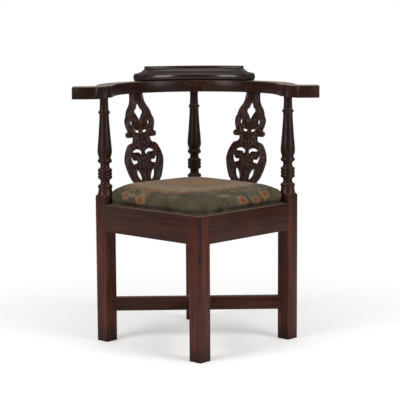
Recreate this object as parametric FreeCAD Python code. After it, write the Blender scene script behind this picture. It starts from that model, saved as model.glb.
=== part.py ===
# Corner chair in dark polished wood with a drop-in needlework seat. Sizes are in millimetres.
# The square seat stands on its corner: one leg in front, one at each side and one at the back.
# The back is +Y and left is -X, as the chair is seen from the front. The floor is Z = 0.
import FreeCAD, Part
import math
import os

os.makedirs("parts", exist_ok=True)

V = FreeCAD.Vector
UP = V(0, 0, 1)
ORIGIN = V(0, 0, 0)

# Legs and rails
SEAT_SIDE = 432.0            # outside of the seat square, leg face to leg face
LEG = 42.5                   # square section of every leg
RAIL_TOP = 420.0
RAIL_DEPTH = 81.5
RAIL_THICK = 30.0
LAND = 16.5                  # flat top of the rail that stays in sight around the seat
REBATE_DEPTH = 24.0
BLOCK_RISE = 28.0            # square part of a side or back leg above the rails
TENON_THICK = 10.0
TENON_LENGTH = 20.0
TENON_SET = 14.0             # outside of the rail to the middle of its tenon
TENON_TOP_SHOULDER = 26.0
TENON_FOOT_SHOULDER = 12.0
GLUE_LINE = 0.1              # gap on each cheek of a glued joint
END_GAP = 1.0                # space left past the end of a tenon

# Cross stretcher
STRETCHER_FOOT = 92.5
STRETCHER_DEPTH = 41.0
STRETCHER_THICK = 22.0
STRETCHER_TENON_THICK = 9.0
STRETCHER_TENON_LENGTH = 16.0
STRETCHER_SHOULDER = 10.0

# Turned columns between the blocks and the arm
ARM_UNDER = 743.0
ARM_THICK = 35.0
COLUMN_DRAWN = 295.0         # height at which the column's profile is drawn
PIN_RADIUS = 9.0             # round tenon on top of a column
PIN_LENGTH = 22.0
PIN_GAP = 0.2

# Arm, one horseshoe in two halves. Its hand-sawn ends differ a little in length.
BOW_INSIDE = 31.8            # middle of a column to the inside of the arm
BOW_OUTSIDE = 19.2
REACH_LEFT = 86.0            # middle of a side column to the end of the arm
REACH_RIGHT = 78.0
PADDLE_FRONT = 150.0         # how far the arm ends come forward of the side columns
PADDLE_BACK = 78.0
LAP_LENGTH = 56.0            # half-lap joint at the middle of the back

# Crest rail on the back of the arm
CREST_HEIGHT = 46.0
CREST_SETBACK = 2.0          # inside of the arm to the foot of the crest
CREST_MARGIN = 3.0           # back of the crest to the outside of the arm
CREST_ANGLE = 41.5           # half of the arc it covers, in degrees
CREST_TOP_WIDTH = 16.0       # flat top
CREST_RETURN = 46.0          # how far the moulding runs in at each end
NOSING = 19.0                # height of the half-round at its foot
NOSING_SWELL = 5.0
CREST_HOLLOW = 0.26          # depth of the hollow, as a part of the moulding's width

# Pierced splats and their shoes
SPLAT_THICK = 9.5
SPLAT_INSET = 10.2           # outside of the rail to the splat's middle plane
SPLAT_HEAD_INSET = 15.2      # middle line of the columns to that plane, under the arm
SPLAT_DATUM_RISE = 10.0      # rail top to the level from which the splat is drawn
SPLAT_DRAWN = 313.0          # height of the splat's drawing, from there to the arm
SPLAT_SPARE = 30.0           # drawn past both ends, then trimmed to the shoe and the arm
SPLAT_TENON_THICK = 7.0
SPLAT_TENON_FOOT = 84.0
SPLAT_TENON_HEAD = 38.0
SPLAT_TENON_RISE = 16.0
SHOE_HEIGHT = 22.0
SHOE_SETBACK = 1.0
SHOE_FLOOR = 4.0

# Drop-in seat
SEAT_GAP = 1.5               # between the cover and the rails, on every side
POST_GAP = 2.5               # between the cover and the leg blocks
COVER_THICK = 1.2
COVER_EASE = 0.3             # between the cover and what it is drawn over
MEMBER_THICK = 22.0
MEMBER_WIDTH = 48.0
WEB_WIDTH = 50.0
WEB_THICK = 1.2
WEB_PITCH = 78.0
CANVAS_THICK = 0.8
CROWN_RISE = 67.5            # rail top to the crown of the seat
CROWN_RUN = 166.0            # seat edge in to where the crown is flat
CROWN_STAGES = 8
SIDE_SHARE = 0.28            # part of the stuffing's height that is upright side
SEAT_CORNER = 22.0
CORNER_STEPS = 4
FOLD = 34.0                  # cover turned in under the seat frame
TACK_HEAD = 7.0
TACK_HEAD_THICK = 1.0
TACK_SHANK = 1.8
TACK_LENGTH = 9.0
TACK_PITCH = 76.0
TACK_INSET = 20.0

# Lengths that follow from the ones above
HALF = SEAT_SIDE / 2
POST_OUT = (HALF - LEG / 2) * math.sqrt(2)       # chair's middle to a leg's middle
POST_IN = HALF - LEG
RAIL_FOOT = RAIL_TOP - RAIL_DEPTH
BLOCK_TOP = RAIL_TOP + BLOCK_RISE
CROWN_TOP = RAIL_TOP + CROWN_RISE
LEDGE = RAIL_TOP - REBATE_DEPTH
LAND_IN = HALF - LAND
ARM_TOP = ARM_UNDER + ARM_THICK
BOW_IN = POST_OUT - BOW_INSIDE                   # inside radius of the arm
BOW_OUT = POST_OUT + BOW_OUTSIDE
CREST_IN = BOW_IN + CREST_SETBACK
CREST_OUT = BOW_OUT - CREST_MARGIN
SPLAT_DATUM = RAIL_TOP + SPLAT_DATUM_RISE
SPLAT_FOOT = HALF - SPLAT_INSET                  # chair's middle to the splat, at the rail top
SPLAT_HEAD = POST_OUT - SPLAT_HEAD_INSET         # the same under the arm
RAKE = math.degrees(math.atan((SPLAT_HEAD - SPLAT_FOOT) / (ARM_UNDER - RAIL_TOP)))
COVER_OUT = LAND_IN - SEAT_GAP
FRAME_OUT = COVER_OUT - COVER_THICK - COVER_EASE
FRAME_OUT_GAP = COVER_OUT - FRAME_OUT
MEMBER_FOOT = LEDGE + COVER_THICK
MEMBER_TOP = MEMBER_FOOT + MEMBER_THICK
CANVAS_TOP = MEMBER_TOP + 2 * WEB_THICK + CANVAS_THICK
SHOE_TOP = RAIL_TOP + SHOE_HEIGHT

# Sides of the seat square, as a turn from the +Y direction
BACK_LEFT = 45
BACK_RIGHT = -45
FRONT_LEFT = 135
FRONT_RIGHT = -135


def without(shape, cuts):
    for cut in cuts:
        shape = shape.cut(cut)
    return shape


def box(x0, x1, y0, y1, z0, z1):
    return Part.makeBox(x1 - x0, y1 - y0, z1 - z0, V(x0, y0, z0))


def about_z(shape, angle):
    turned = shape.copy()
    turned.rotate(ORIGIN, UP, angle)
    return turned


def mirrored(shape):
    return shape.mirror(ORIGIN, V(1, 0, 0))


def outline(steps, plane):
    """A wire through steps; a step is (a, b) for a line or (a1, b1, a, b) for an arc by way of (a1, b1)."""
    edges = []
    here = plane(*steps[0])
    for step in steps[1:]:
        there = plane(*step[-2:])
        if len(step) == 4:
            edges.append(Part.Arc(here, plane(*step[:2]), there).toShape())
        else:
            edges.append(Part.makeLine(here, there))
        here = there
    return Part.Wire(edges)


def in_radius(r, z):
    return V(r, 0, z)


def in_floor(x, y):
    return V(x, y, 0)


def revolved(steps):
    """A turned solid from the radius and height of its profile."""
    return Part.Face(outline(steps, in_radius)).revolve(ORIGIN, UP, 360)


def save(name, shape):
    clean = shape.removeSplitter()
    if clean.Volume < 0:
        clean = clean.reversed()
    clean.exportStep("parts/" + name + ".step")


# Legs. The home leg stands at the back; the others are turned about the middle of the chair.

def leg_blank(top):
    square = box(-LEG / 2, LEG / 2, -LEG / 2, LEG / 2, 0, top)
    turned = about_z(square, 45)
    turned.translate(V(0, POST_OUT, 0))
    return turned


def arch(r0, z0, r1, z1, bulge, facets=4):
    """Points after (r0, z0) up to (r1, z1) along half an ellipse that swells or hollows by bulge."""
    points = []
    for i in range(1, facets + 1):
        turn = math.pi * i / facets
        share = (1 - math.cos(turn)) / 2
        points.append((r0 + (r1 - r0) * share + bulge * math.sin(turn), z0 + (z1 - z0) * share))
    return points


def column():
    """The turned part: ringed vase low down, waist, ball, then a long taper up to a small ring."""
    groove = 19.6
    bead = 9.7
    neck = 18.5
    level = 20
    profile = [(23, 0), (groove, level)]
    for beads in (1, 3, 1):
        if level > 20:
            profile += arch(groove, level, groove, level + neck, -6.4, 3)
            level += neck
        for i in range(beads):
            profile += arch(groove, level, groove, level + bead, 1.6, 2)
            level += bead
    taper_top = COLUMN_DRAWN - 54
    profile += [(18.2, level + 3), (21.6, level + 21.5), (14.3, taper_top)]
    profile += arch(14.3, taper_top, 13.2, taper_top + 13, 4, 2)
    profile += [(13.2, COLUMN_DRAWN)]
    stretch = (ARM_UNDER - BLOCK_TOP) / COLUMN_DRAWN
    skin = [(radius, BLOCK_TOP + rise * stretch) for radius, rise in profile]
    foot = [(0, BLOCK_TOP - 1), (profile[0][0], BLOCK_TOP - 1)]
    return revolved(foot + skin + [(0, ARM_UNDER), foot[0]])


def pommel():
    """Rounds the upper corners of a leg block down to the turning."""
    corner = LEG / math.sqrt(2) + 1
    shoulder = arch(corner, BLOCK_TOP - 9, 23, BLOCK_TOP, 1.6, 3)
    return revolved([(0, 0), (corner, 0), (corner, BLOCK_TOP - 9)] + shoulder + [(0, BLOCK_TOP), (0, 0)])


def rail_tenons(gap):
    """Both tenons of the home rail; gap makes the mortise for them instead."""
    reach = POST_IN + TENON_LENGTH + (END_GAP if gap else 0)
    middle = HALF - TENON_SET
    half = TENON_THICK / 2 + gap
    low = RAIL_FOOT + TENON_FOOT_SHOULDER - gap
    high = RAIL_TOP - TENON_TOP_SHOULDER + gap
    return box(-reach, reach, middle - half, middle + half, low, high)


def stretcher_tenons(gap):
    inner_corner = POST_OUT - LEG / math.sqrt(2)
    reach = inner_corner + STRETCHER_TENON_LENGTH + (END_GAP if gap else 0)
    half = STRETCHER_TENON_THICK / 2 + gap
    low = STRETCHER_FOOT + STRETCHER_SHOULDER - gap
    high = STRETCHER_FOOT + STRETCHER_DEPTH - STRETCHER_SHOULDER + gap
    return box(-half, half, -reach, reach, low, high)


def turned_leg():
    block = leg_blank(BLOCK_TOP)
    cap = pommel()
    cap.translate(V(0, POST_OUT, 0))
    upper = column()
    pin = Part.makeCylinder(PIN_RADIUS, PIN_LENGTH + 2, V(0, 0, ARM_UNDER - 2))
    upper = upper.fuse(pin)
    upper.translate(V(0, POST_OUT, 0))
    return block.common(cap).fuse(upper)


def front_leg():
    """Stops at the rail top and carries the corner of the seat ledge."""
    leg = leg_blank(RAIL_TOP)
    well = about_z(box(-LAND_IN, LAND_IN, -LAND_IN, LAND_IN, LEDGE, RAIL_TOP + 1), 45)
    return leg.cut(well)


def mortised(leg):
    rail_left = about_z(rail_tenons(GLUE_LINE), BACK_LEFT)
    rail_right = about_z(rail_tenons(GLUE_LINE), BACK_RIGHT)
    return leg.cut(rail_left).cut(rail_right).cut(stretcher_tenons(GLUE_LINE))


back_leg = mortised(turned_leg())
save("post_back", back_leg)
save("post_left", about_z(back_leg, 90))
save("post_right", about_z(back_leg, -90))
save("post_front", about_z(mortised(front_leg()), 180))


# Seat rails

def rail():
    body = box(-POST_IN, POST_IN, HALF - RAIL_THICK, HALF, RAIL_FOOT, RAIL_TOP)
    rebate = box(-POST_IN, POST_IN, HALF - RAIL_THICK - 1, LAND_IN, LEDGE, RAIL_TOP + 1)
    return body.cut(rebate).fuse(rail_tenons(0))


home_rail = rail()
save("rail_back_left", about_z(home_rail, BACK_LEFT))
save("rail_back_right", about_z(home_rail, BACK_RIGHT))
save("rail_front_left", about_z(home_rail, FRONT_LEFT))
save("rail_front_right", about_z(home_rail, FRONT_RIGHT))


# Cross stretcher: two bars halved together where they cross, birdsmouthed on the legs' inner corners

def stretcher():
    half = STRETCHER_THICK / 2
    bar = box(-half, half, -POST_OUT, POST_OUT, STRETCHER_FOOT, STRETCHER_FOOT + STRETCHER_DEPTH)
    for turn in (0, 180):
        bar = bar.cut(about_z(leg_blank(RAIL_TOP), turn))
    return bar.fuse(stretcher_tenons(0))


def crossing(low, high):
    half = STRETCHER_THICK / 2
    return box(-half, half, -half, half, low, high)


stretcher_mid = STRETCHER_FOOT + STRETCHER_DEPTH / 2
save("stretcher_long", stretcher().cut(crossing(stretcher_mid, STRETCHER_FOOT + STRETCHER_DEPTH + 1)))
save("stretcher_side", about_z(stretcher().cut(crossing(STRETCHER_FOOT - 1, stretcher_mid)), 90))


# Pierced splats. Half widths are read at heights above SPLAT_DATUM, measured up the raked plane.

def on_splat(s, t):
    """A point of the upright splat drawn flat: s across, t up."""
    return V(s, 0, t * (ARM_UNDER - SPLAT_DATUM) / SPLAT_DRAWN)


def flipped(steps):
    return [tuple(-n if i % 2 == 0 else n for i, n in enumerate(step)) for step in steps]


def back_again(steps):
    """The same steps drawn from the last point to the first."""
    ends = [step[-2:] for step in steps]
    turned = [ends[-1]]
    for i in range(len(steps) - 1, 0, -1):
        turned.append(steps[i][:2] + ends[i - 1] if len(steps[i]) == 4 else ends[i - 1])
    return turned


def symmetric(steps):
    """Closed wire from the right half, whose first and last points may stand off the middle line."""
    left = back_again(flipped(steps))
    first = [] if steps[0][0] == 0 else [steps[0]]
    across = [] if steps[-1][-2] == 0 else [left[0]]
    return outline(steps + across + left[1:] + first, on_splat)


SPLAT_EDGE = [
    (50, -SPLAT_SPARE), (50, 11), (46.5, 25, 52.5, 40), (61, 49.5),
    (74.2, 80, 80.3, 104), (77, 124, 66.5, 145), (60.3, 154, 50.5, 160.2),
    (37.5, 165, 33.5, 175), (33.5, 180), (55, 180),
    (62.3, 188, 55.5, 196.4), (51.3, 198), (57.6, 213), (60.4, 226),
    (59.2, 235), (55.8, 242), (53.2, 244.5), (48.4, 260, 42.3, 270),
    (31.6, 284, 26.4, 300), (25, SPLAT_DRAWN), (25, SPLAT_DRAWN + SPLAT_SPARE),
]
DIAMOND = [(0, 226), (15.8, 251.5), (20.4, 258.5, 16.6, 266), (11, 270.5), (7.2, 280, 0, 289)]
EYELET = [(36.3, 214.5), (43, 224.5, 36.8, 234.5), (29.8, 224.5, 36.3, 214.5)]
CRESCENT = [(5, 195), (17.5, 192.4, 30, 204.8), (17, 201.6), (5, 200.5), (5, 195)]
SCROLL = [
    (3.6, 135), (34.5, 142.2, 60.8, 116), (60.4, 105, 55, 96), (53.5, 91), (50, 88), (46, 93.5, 38, 96.5),
    (26, 99.3), (26, 108.2), (32, 108.4), (45.4, 112.8, 46.4, 120), (42, 129.8, 31, 131.6),
    (20.5, 130, 16, 122), (10.5, 120), (4.5, 128), (3.6, 135),
]
LEAF = [(17, 40), (37.5, 58, 38.5, 82), (20.5, 66, 17, 40)]


def splat_plate(thick):
    """Flat pierced plate, standing in the plane Y = 0."""
    edge = symmetric(SPLAT_EDGE)
    plate = Part.Face(edge)
    cuts = [Part.Face(symmetric(DIAMOND))]
    for hole in (EYELET, CRESCENT, SCROLL, LEAF):
        cuts.append(Part.Face(outline(hole, on_splat)))
        cuts.append(Part.Face(outline(flipped(hole), on_splat)))
    for hole in cuts:
        plate = plate.cut(hole)
    solid = plate.extrude(V(0, thick, 0))
    solid.translate(V(0, -thick / 2, 0))
    return solid


def raked(shape):
    """Lean a shape back about the splat's datum line and move it out to the rail."""
    leaning = shape.copy()
    leaning.rotate(ORIGIN, V(1, 0, 0), -RAKE)
    out = SPLAT_FOOT + (SPLAT_DATUM - RAIL_TOP) * math.tan(math.radians(RAKE))
    leaning.translate(V(0, out, SPLAT_DATUM))
    return leaning


def splat_tenons(gap):
    half = SPLAT_TENON_THICK / 2 + gap
    depth = END_GAP if gap else 0
    low = on_splat(0, 0).z
    high = on_splat(0, SPLAT_DRAWN).z
    spare = SPLAT_SPARE
    foot = box(-SPLAT_TENON_FOOT / 2 - gap, SPLAT_TENON_FOOT / 2 + gap, -half, half, low - spare, low + spare)
    head = box(-SPLAT_TENON_HEAD / 2 - gap, SPLAT_TENON_HEAD / 2 + gap, -half, half, high - spare, high + spare)
    foot = raked(foot)
    head = raked(head)
    wide = SEAT_SIDE
    foot = foot.common(box(-wide, wide, 0, wide, RAIL_TOP + SHOE_FLOOR - min(depth, SHOE_FLOOR / 2), SHOE_TOP))
    head = head.common(box(-wide, wide, 0, wide, ARM_UNDER, ARM_UNDER + SPLAT_TENON_RISE + depth))
    return foot, head


def splat():
    between = box(-SEAT_SIDE, SEAT_SIDE, 0, SEAT_SIDE, SHOE_TOP, ARM_UNDER)
    foot, head = splat_tenons(0)
    return raked(splat_plate(SPLAT_THICK)).common(between).fuse([foot, head])


def shoe():
    bar = box(-POST_IN, POST_IN, LAND_IN + SHOE_SETBACK, HALF, RAIL_TOP, SHOE_TOP)
    return bar.cut(splat_tenons(GLUE_LINE)[0])


home_splat = splat()
home_shoe = shoe()
save("splat_left", about_z(home_splat, BACK_LEFT))
save("splat_right", about_z(home_splat, BACK_RIGHT))
save("shoe_left", about_z(home_shoe, BACK_LEFT))
save("shoe_right", about_z(home_shoe, BACK_RIGHT))


# Arm

def arm_plan(reach):
    """Right half of the horseshoe seen from above. Its end swells inwards and turns out."""
    inner = BOW_IN * math.sqrt(0.5)
    outer = BOW_OUT * math.sqrt(0.5)
    end = POST_OUT + reach
    return outline([
        (0, BOW_IN), (inner, inner, BOW_IN, 0),
        (BOW_IN + 3, -26, BOW_IN + 4, -50),
        (BOW_IN + 8.5, -67, BOW_IN + 18, -79),
        (BOW_IN + 24.5, -114, BOW_IN + 42, 6 - PADDLE_FRONT),
        (BOW_IN + 48, 1.6 - PADDLE_FRONT, BOW_IN + 56, -PADDLE_FRONT),
        ((BOW_IN + end) / 2 + 24, -2.4 - PADDLE_FRONT, end - 5, 1.5 - PADDLE_FRONT),
        (end - 1.4, 2.8 - PADDLE_FRONT, end, 6.5 - PADDLE_FRONT),
        (end, -PADDLE_BACK - 13),
        (end - 3.8, -PADDLE_BACK - 3.8, end - 13, -PADDLE_BACK),
        (BOW_OUT + 20, -PADDLE_BACK),
        (BOW_OUT + 6.8, -PADDLE_BACK + 6.8, BOW_OUT + 1, -PADDLE_BACK + 22),
        (BOW_OUT + 1.5, -28, BOW_OUT, 0),
        (outer, outer, 0, BOW_OUT), (0, BOW_IN),
    ], in_floor)


def arm_half(reach):
    solid = Part.Face(arm_plan(reach)).extrude(V(0, 0, ARM_THICK))
    solid.translate(V(0, 0, ARM_UNDER))
    return solid


def arm_sockets():
    cuts = []
    for turn in (90, 0, -90):
        pin = Part.makeCylinder(PIN_RADIUS + PIN_GAP, PIN_LENGTH + END_GAP, V(0, POST_OUT, ARM_UNDER))
        cuts.append(about_z(pin, turn))
    for turn in (BACK_LEFT, BACK_RIGHT):
        cuts.append(about_z(splat_tenons(GLUE_LINE)[1], turn))
    return cuts


bow = arm_half(REACH_RIGHT).fuse(mirrored(arm_half(REACH_LEFT))).removeSplitter()
for socket in arm_sockets():
    bow = bow.cut(socket)
lap_low = ARM_UNDER - 1
lap_mid = ARM_UNDER + ARM_THICK / 2
lap_high = ARM_TOP + 1
wide = POST_OUT + REACH_LEFT + 10
right_share = box(-LAP_LENGTH / 2, wide, -wide, wide, lap_mid, lap_high)
right_share = right_share.fuse(box(LAP_LENGTH / 2, wide, -wide, wide, lap_low, lap_mid))
left_share = box(-wide, LAP_LENGTH / 2, -wide, wide, lap_low, lap_mid)
left_share = left_share.fuse(box(-wide, -LAP_LENGTH / 2, -wide, wide, lap_mid, lap_high))
save("arm_right", bow.common(right_share))
save("arm_left", bow.common(left_share))


# Crest rail: nosing at the foot, then a hollow that sweeps back to a narrow flat top

def crest_face(start, end):
    """Steps of the moulding from its foot to its top edge, over a width from start to end."""
    across = end - start
    foot = start + NOSING_SWELL * 0.6
    ledge = start + across * 0.18
    nosing = [(foot, 0)] + arch(foot, 0, foot, NOSING, -NOSING_SWELL, 3)
    hollow = arch(ledge, NOSING + 0.6, end, CREST_HEIGHT, CREST_HOLLOW * across, 4)
    return nosing + [(ledge, NOSING + 0.6)] + hollow


def crest():
    face = crest_face(CREST_IN + 2, CREST_OUT - CREST_TOP_WIDTH)
    section = outline(face + [(CREST_OUT - 3, CREST_HEIGHT), (CREST_OUT, CREST_HEIGHT - 3),
                              (CREST_OUT, 0), face[0]], in_radius)
    ring = Part.Face(section).revolve(ORIGIN, UP, 360)
    ends = crest_face(2, CREST_RETURN)
    past = CREST_OUT * 2
    slab = Part.Face(outline(ends + [(past, CREST_HEIGHT), (past, 0), ends[0]], in_radius))
    slab = slab.extrude(V(0, CREST_OUT + 60, 0))
    right_end = slab.copy()
    right_end.rotate(ORIGIN, UP, 180)
    right_end.translate(V(0, CREST_OUT + 60, 0))
    right_end.rotate(ORIGIN, UP, -CREST_ANGLE)
    trimmed = ring.common(right_end).common(mirrored(right_end))
    behind = trimmed.common(box(-wide, wide, 1, wide, -1, CREST_HEIGHT + 1))
    behind.translate(V(0, 0, ARM_TOP))
    return behind


save("crest_rail", crest())


# Drop-in seat. Four members halved together, a square corner cut out around each leg block.

def notches(gap, low, high):
    """Corners kept clear of the back, left and right leg blocks."""
    start = POST_IN - POST_GAP - gap
    corner = box(start, SEAT_SIDE, start, SEAT_SIDE, low, high)
    return [about_z(corner, turn) for turn in (45, -45, 135)]


def rounded_square(half, radius, z):
    """Points round a level square, its corners turned in short straight steps."""
    points = []
    for turn in range(4):
        for i in range(CORNER_STEPS + 1):
            bend = math.pi / 2 * (turn + i / CORNER_STEPS)
            corner = about_z(Part.Vertex(half - radius, half - radius, z), 90 * turn).Point
            points.append(corner + V(radius * math.cos(bend), radius * math.sin(bend), 0))
    return points


def flat_face(points):
    return Part.Face(Part.makePolygon(points + points[:1]))


def stacked(rings):
    """A solid with flat faces between one ring of points and the next."""
    faces = [flat_face(rings[0]), flat_face(rings[-1])]
    for lower, upper in zip(rings, rings[1:]):
        for i in range(len(lower)):
            faces.append(flat_face([lower[i - 1], lower[i], upper[i], upper[i - 1]]))
    shell = Part.makeShell(faces)
    shell.sewShape()
    return Part.Solid(shell)


def seat_body(grow, low):
    """The whole seat from level low up to its crown, all faces moved out by grow."""
    side = FRAME_OUT + grow
    rise = CROWN_TOP + grow - CANVAS_TOP
    rings = [rounded_square(side, SEAT_CORNER, low)]
    for i in range(CROWN_STAGES + 1):
        turn = math.pi / 2 * i / CROWN_STAGES
        level = CANVAS_TOP + rise * (SIDE_SHARE + (1 - SIDE_SHARE) * math.sin(turn))
        inset = CROWN_RUN * (1 - math.cos(turn)) ** 1.5
        radius = min(SEAT_CORNER + inset / 2, 0.9 * (side - inset))
        rings.append(rounded_square(side - inset, radius, level))
    whole = about_z(stacked(rings), 45)
    return without(whole, notches(FRAME_OUT_GAP - grow, 0, SEAT_SIDE * 2))


def member(turn, low, high):
    bar = box(-FRAME_OUT, FRAME_OUT, FRAME_OUT - MEMBER_WIDTH, FRAME_OUT, MEMBER_FOOT, MEMBER_TOP)
    inner = FRAME_OUT - MEMBER_WIDTH
    for x0, x1 in ((-FRAME_OUT, -inner), (inner, FRAME_OUT)):
        bar = bar.cut(box(x0, x1, inner, FRAME_OUT, low, high))
    return about_z(bar, turn)


def tack_places():
    spots = []
    for turn in (BACK_LEFT, BACK_RIGHT, FRONT_LEFT, FRONT_RIGHT):
        for i in range(4):
            spots.append((turn, (i - 1.5) * TACK_PITCH))
    return spots


def tack(along, gap=0):
    """Cut tack driven up from below: square shank and a four-sided flat head."""
    across = COVER_OUT - TACK_INSET
    half = TACK_SHANK / 2 + gap
    shank = box(along - half, along + half, across - half, across + half, LEDGE, LEDGE + TACK_LENGTH + gap * 5)
    if gap:
        return shank
    half = TACK_HEAD / 2
    head = box(along - half, along + half, across - half, across + half, LEDGE - TACK_HEAD_THICK, LEDGE)
    return head.fuse(shank)


tacks = [about_z(tack(along), turn) for turn, along in tack_places()]
tack_holes = [about_z(tack(along, GLUE_LINE), turn) for turn, along in tack_places()]
Part.makeCompound(tacks).exportStep("parts/seat_tacks.step")

corner_square = flat_face(rounded_square(FRAME_OUT, SEAT_CORNER, MEMBER_FOOT - 1))
frame_blank = about_z(corner_square.extrude(V(0, 0, CANVAS_TOP - MEMBER_FOOT + 2)), 45)
member_mid = (MEMBER_FOOT + MEMBER_TOP) / 2
members = {
    "seat_frame_back_left": (BACK_LEFT, MEMBER_FOOT - 1, member_mid),
    "seat_frame_front_right": (FRONT_RIGHT, MEMBER_FOOT - 1, member_mid),
    "seat_frame_back_right": (BACK_RIGHT, member_mid, MEMBER_TOP + 1),
    "seat_frame_front_left": (FRONT_LEFT, member_mid, MEMBER_TOP + 1),
}
for name, (turn, low, high) in members.items():
    piece = member(turn, low, high).common(frame_blank)
    piece = without(piece, notches(FRAME_OUT_GAP, 0, SEAT_SIDE * 2))
    save(name, without(piece, tack_holes))

webs = []
for turn, low in ((45, MEMBER_TOP), (-45, MEMBER_TOP + WEB_THICK)):
    for i in (-1, 0, 1):
        middle = i * WEB_PITCH
        reach = FRAME_OUT - 8
        strip = box(middle - WEB_WIDTH / 2, middle + WEB_WIDTH / 2, -reach, reach, low, low + WEB_THICK)
        webs.append(about_z(strip, turn))
Part.makeCompound(webs).exportStep("parts/seat_webbing.step")

canvas_low = CANVAS_TOP - CANVAS_THICK
canvas = frame_blank.common(box(-SEAT_SIDE, SEAT_SIDE, -SEAT_SIDE, SEAT_SIDE, canvas_low, CANVAS_TOP))
save("seat_canvas", without(canvas, notches(FRAME_OUT_GAP, 0, SEAT_SIDE * 2)))
save("seat_stuffing", seat_body(0, CANVAS_TOP))


def floor_face(solid):
    """The face a seat body stands on."""
    return min(solid.Faces, key=lambda face: face.CenterOfMass.z)


def seat_cover():
    """Cloth over the top and down the sides, then turned in under the frame."""
    skin = seat_body(FRAME_OUT_GAP, LEDGE)
    inside = seat_body(COVER_EASE, MEMBER_FOOT)
    turned_in = COVER_OUT - FOLD
    opening = about_z(box(-turned_in, turned_in, -turned_in, turned_in, LEDGE, MEMBER_FOOT), 45)
    low_rim = floor_face(opening)
    high_rim = max(opening.Faces, key=lambda face: face.CenterOfMass.z)
    skin_floor = floor_face(skin)
    inside_floor = floor_face(inside)
    faces = [face for face in skin.Faces if not face.isSame(skin_floor)]
    faces += [face.reversed() for face in inside.Faces if not face.isSame(inside_floor)]
    faces += [face.reversed() for face in opening.Faces if not (face.isSame(low_rim) or face.isSame(high_rim))]
    faces += skin_floor.cut(low_rim).Faces
    faces += [face.reversed() for face in inside_floor.cut(high_rim).Faces]
    return without(Part.Solid(Part.Shell(faces)), tack_holes)


save("seat_cover", seat_cover())
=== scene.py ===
# %% [markdown]
# # A corner chair in dark polished mahogany, with a drop-in needlework seat
# The seat square stands on its corner, so one leg comes forward and the arm wraps round the other
# three. The CAD model gives every piece its size and place. This lesson gives them their finish:
# eased edges, turned columns, carved splats, a stuffed seat, and the light to see them by.
# Everything here is in metres, and +Y is the back of the chair.

# %% Load the frame and note its box
import math

import bmesh
import bpy
import numpy as np
from mathutils import Matrix, Vector
from mathutils.geometry import delaunay_2d_cdt


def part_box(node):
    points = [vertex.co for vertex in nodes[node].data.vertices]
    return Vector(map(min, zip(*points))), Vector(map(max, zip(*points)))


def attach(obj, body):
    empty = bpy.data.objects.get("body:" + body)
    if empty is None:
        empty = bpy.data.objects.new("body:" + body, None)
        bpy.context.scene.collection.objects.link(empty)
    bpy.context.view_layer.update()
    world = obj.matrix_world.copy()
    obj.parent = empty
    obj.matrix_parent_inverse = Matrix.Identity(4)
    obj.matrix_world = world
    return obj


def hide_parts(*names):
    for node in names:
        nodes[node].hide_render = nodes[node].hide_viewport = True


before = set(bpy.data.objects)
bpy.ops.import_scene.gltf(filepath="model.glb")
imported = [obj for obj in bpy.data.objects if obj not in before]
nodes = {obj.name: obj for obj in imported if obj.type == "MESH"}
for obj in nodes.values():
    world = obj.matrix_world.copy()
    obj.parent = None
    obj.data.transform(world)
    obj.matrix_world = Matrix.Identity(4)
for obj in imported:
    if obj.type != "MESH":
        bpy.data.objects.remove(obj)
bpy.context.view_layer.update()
MM = 0.001
CHAIR = "chair_frame"
SEAT = "drop_in_seat"

# %% [markdown]
# ## The camera first
# The photograph was taken from about four metres away, a little above the arms, with a long lens.
# Setting the camera before any piece is made lets each render be laid over the photograph.

# %% Camera at the photograph's place
FOCAL_LENGTH = 121.05
SENSOR_WIDTH = 36.0
CAMERA_PLACE = (-0.0993, -4.0279, 0.9628)
TURN = -1.553        # degrees about the vertical, from looking straight along +Y
TILT = -7.552        # degrees down
ROLL = -0.335


def in_scene(name, data):
    """A new object with this data, linked into the scene."""
    made = bpy.data.objects.new(name, data)
    bpy.context.scene.collection.objects.link(made)
    return made


def turning(degrees, axis):
    """The matrix of a turn about an axis."""
    return Matrix.Rotation(math.radians(degrees), 4, axis)


camera_data = bpy.data.cameras.new("camera")
camera_data.lens = FOCAL_LENGTH
camera_data.sensor_width = SENSOR_WIDTH
camera_data.clip_end = 50.0
camera = in_scene("camera", camera_data)
bpy.context.scene.camera = camera
facing = turning(TURN, "Z") @ turning(90 + TILT, "X")
camera.matrix_world = Matrix.Translation(CAMERA_PLACE) @ facing @ turning(ROLL, "Z")
print("camera at", CAMERA_PLACE)

# %% [markdown]
# ## Helpers for materials
# Colours are easier to judge as sRGB hex values, as a picture shows them, but the shader works in
# linear light, so one function converts them. Another adds a node, sets it up and links it. A third
# lays one colour over another, because an old finish is many thin layers, each showing in its places.

# %% Colour and node helpers
RANGE, MATH, MAPPING = "ShaderNodeMapRange", "ShaderNodeMath", "ShaderNodeMapping"
PLACES, PARTS, BUMP = "ShaderNodeTexCoord", "ShaderNodeSeparateXYZ", "ShaderNodeBump"


def colour(hex_value):
    """Linear RGBA of an sRGB hex colour: each channel is undone by the sRGB curve."""
    parts = [int(hex_value[i:i + 2], 16) / 255 for i in (1, 3, 5)]
    linear = [((c + 0.055) / 1.055) ** 2.4 if c > 0.04045 else c / 12.92 for c in parts]
    return (*linear, 1.0)


def connect(tree, node, links):
    """Gives a node's inputs, by name or number, a value or another node's socket."""
    for name, value in links.items():
        if isinstance(value, bpy.types.NodeSocket):
            tree.links.new(value, node.inputs[name])
        else:
            node.inputs[name].default_value = value


def add_node(tree, kind, links=(), output=0, **settings):
    """One output of a new node: settings are its properties, and links is what its inputs get, either
    in their order or by name."""
    made = tree.nodes.new(kind)
    for name, value in settings.items():
        setattr(made, name, value)
    connect(tree, made, links if isinstance(links, dict) else dict(enumerate(links)))
    return made.outputs[output] if made.outputs else None


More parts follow.
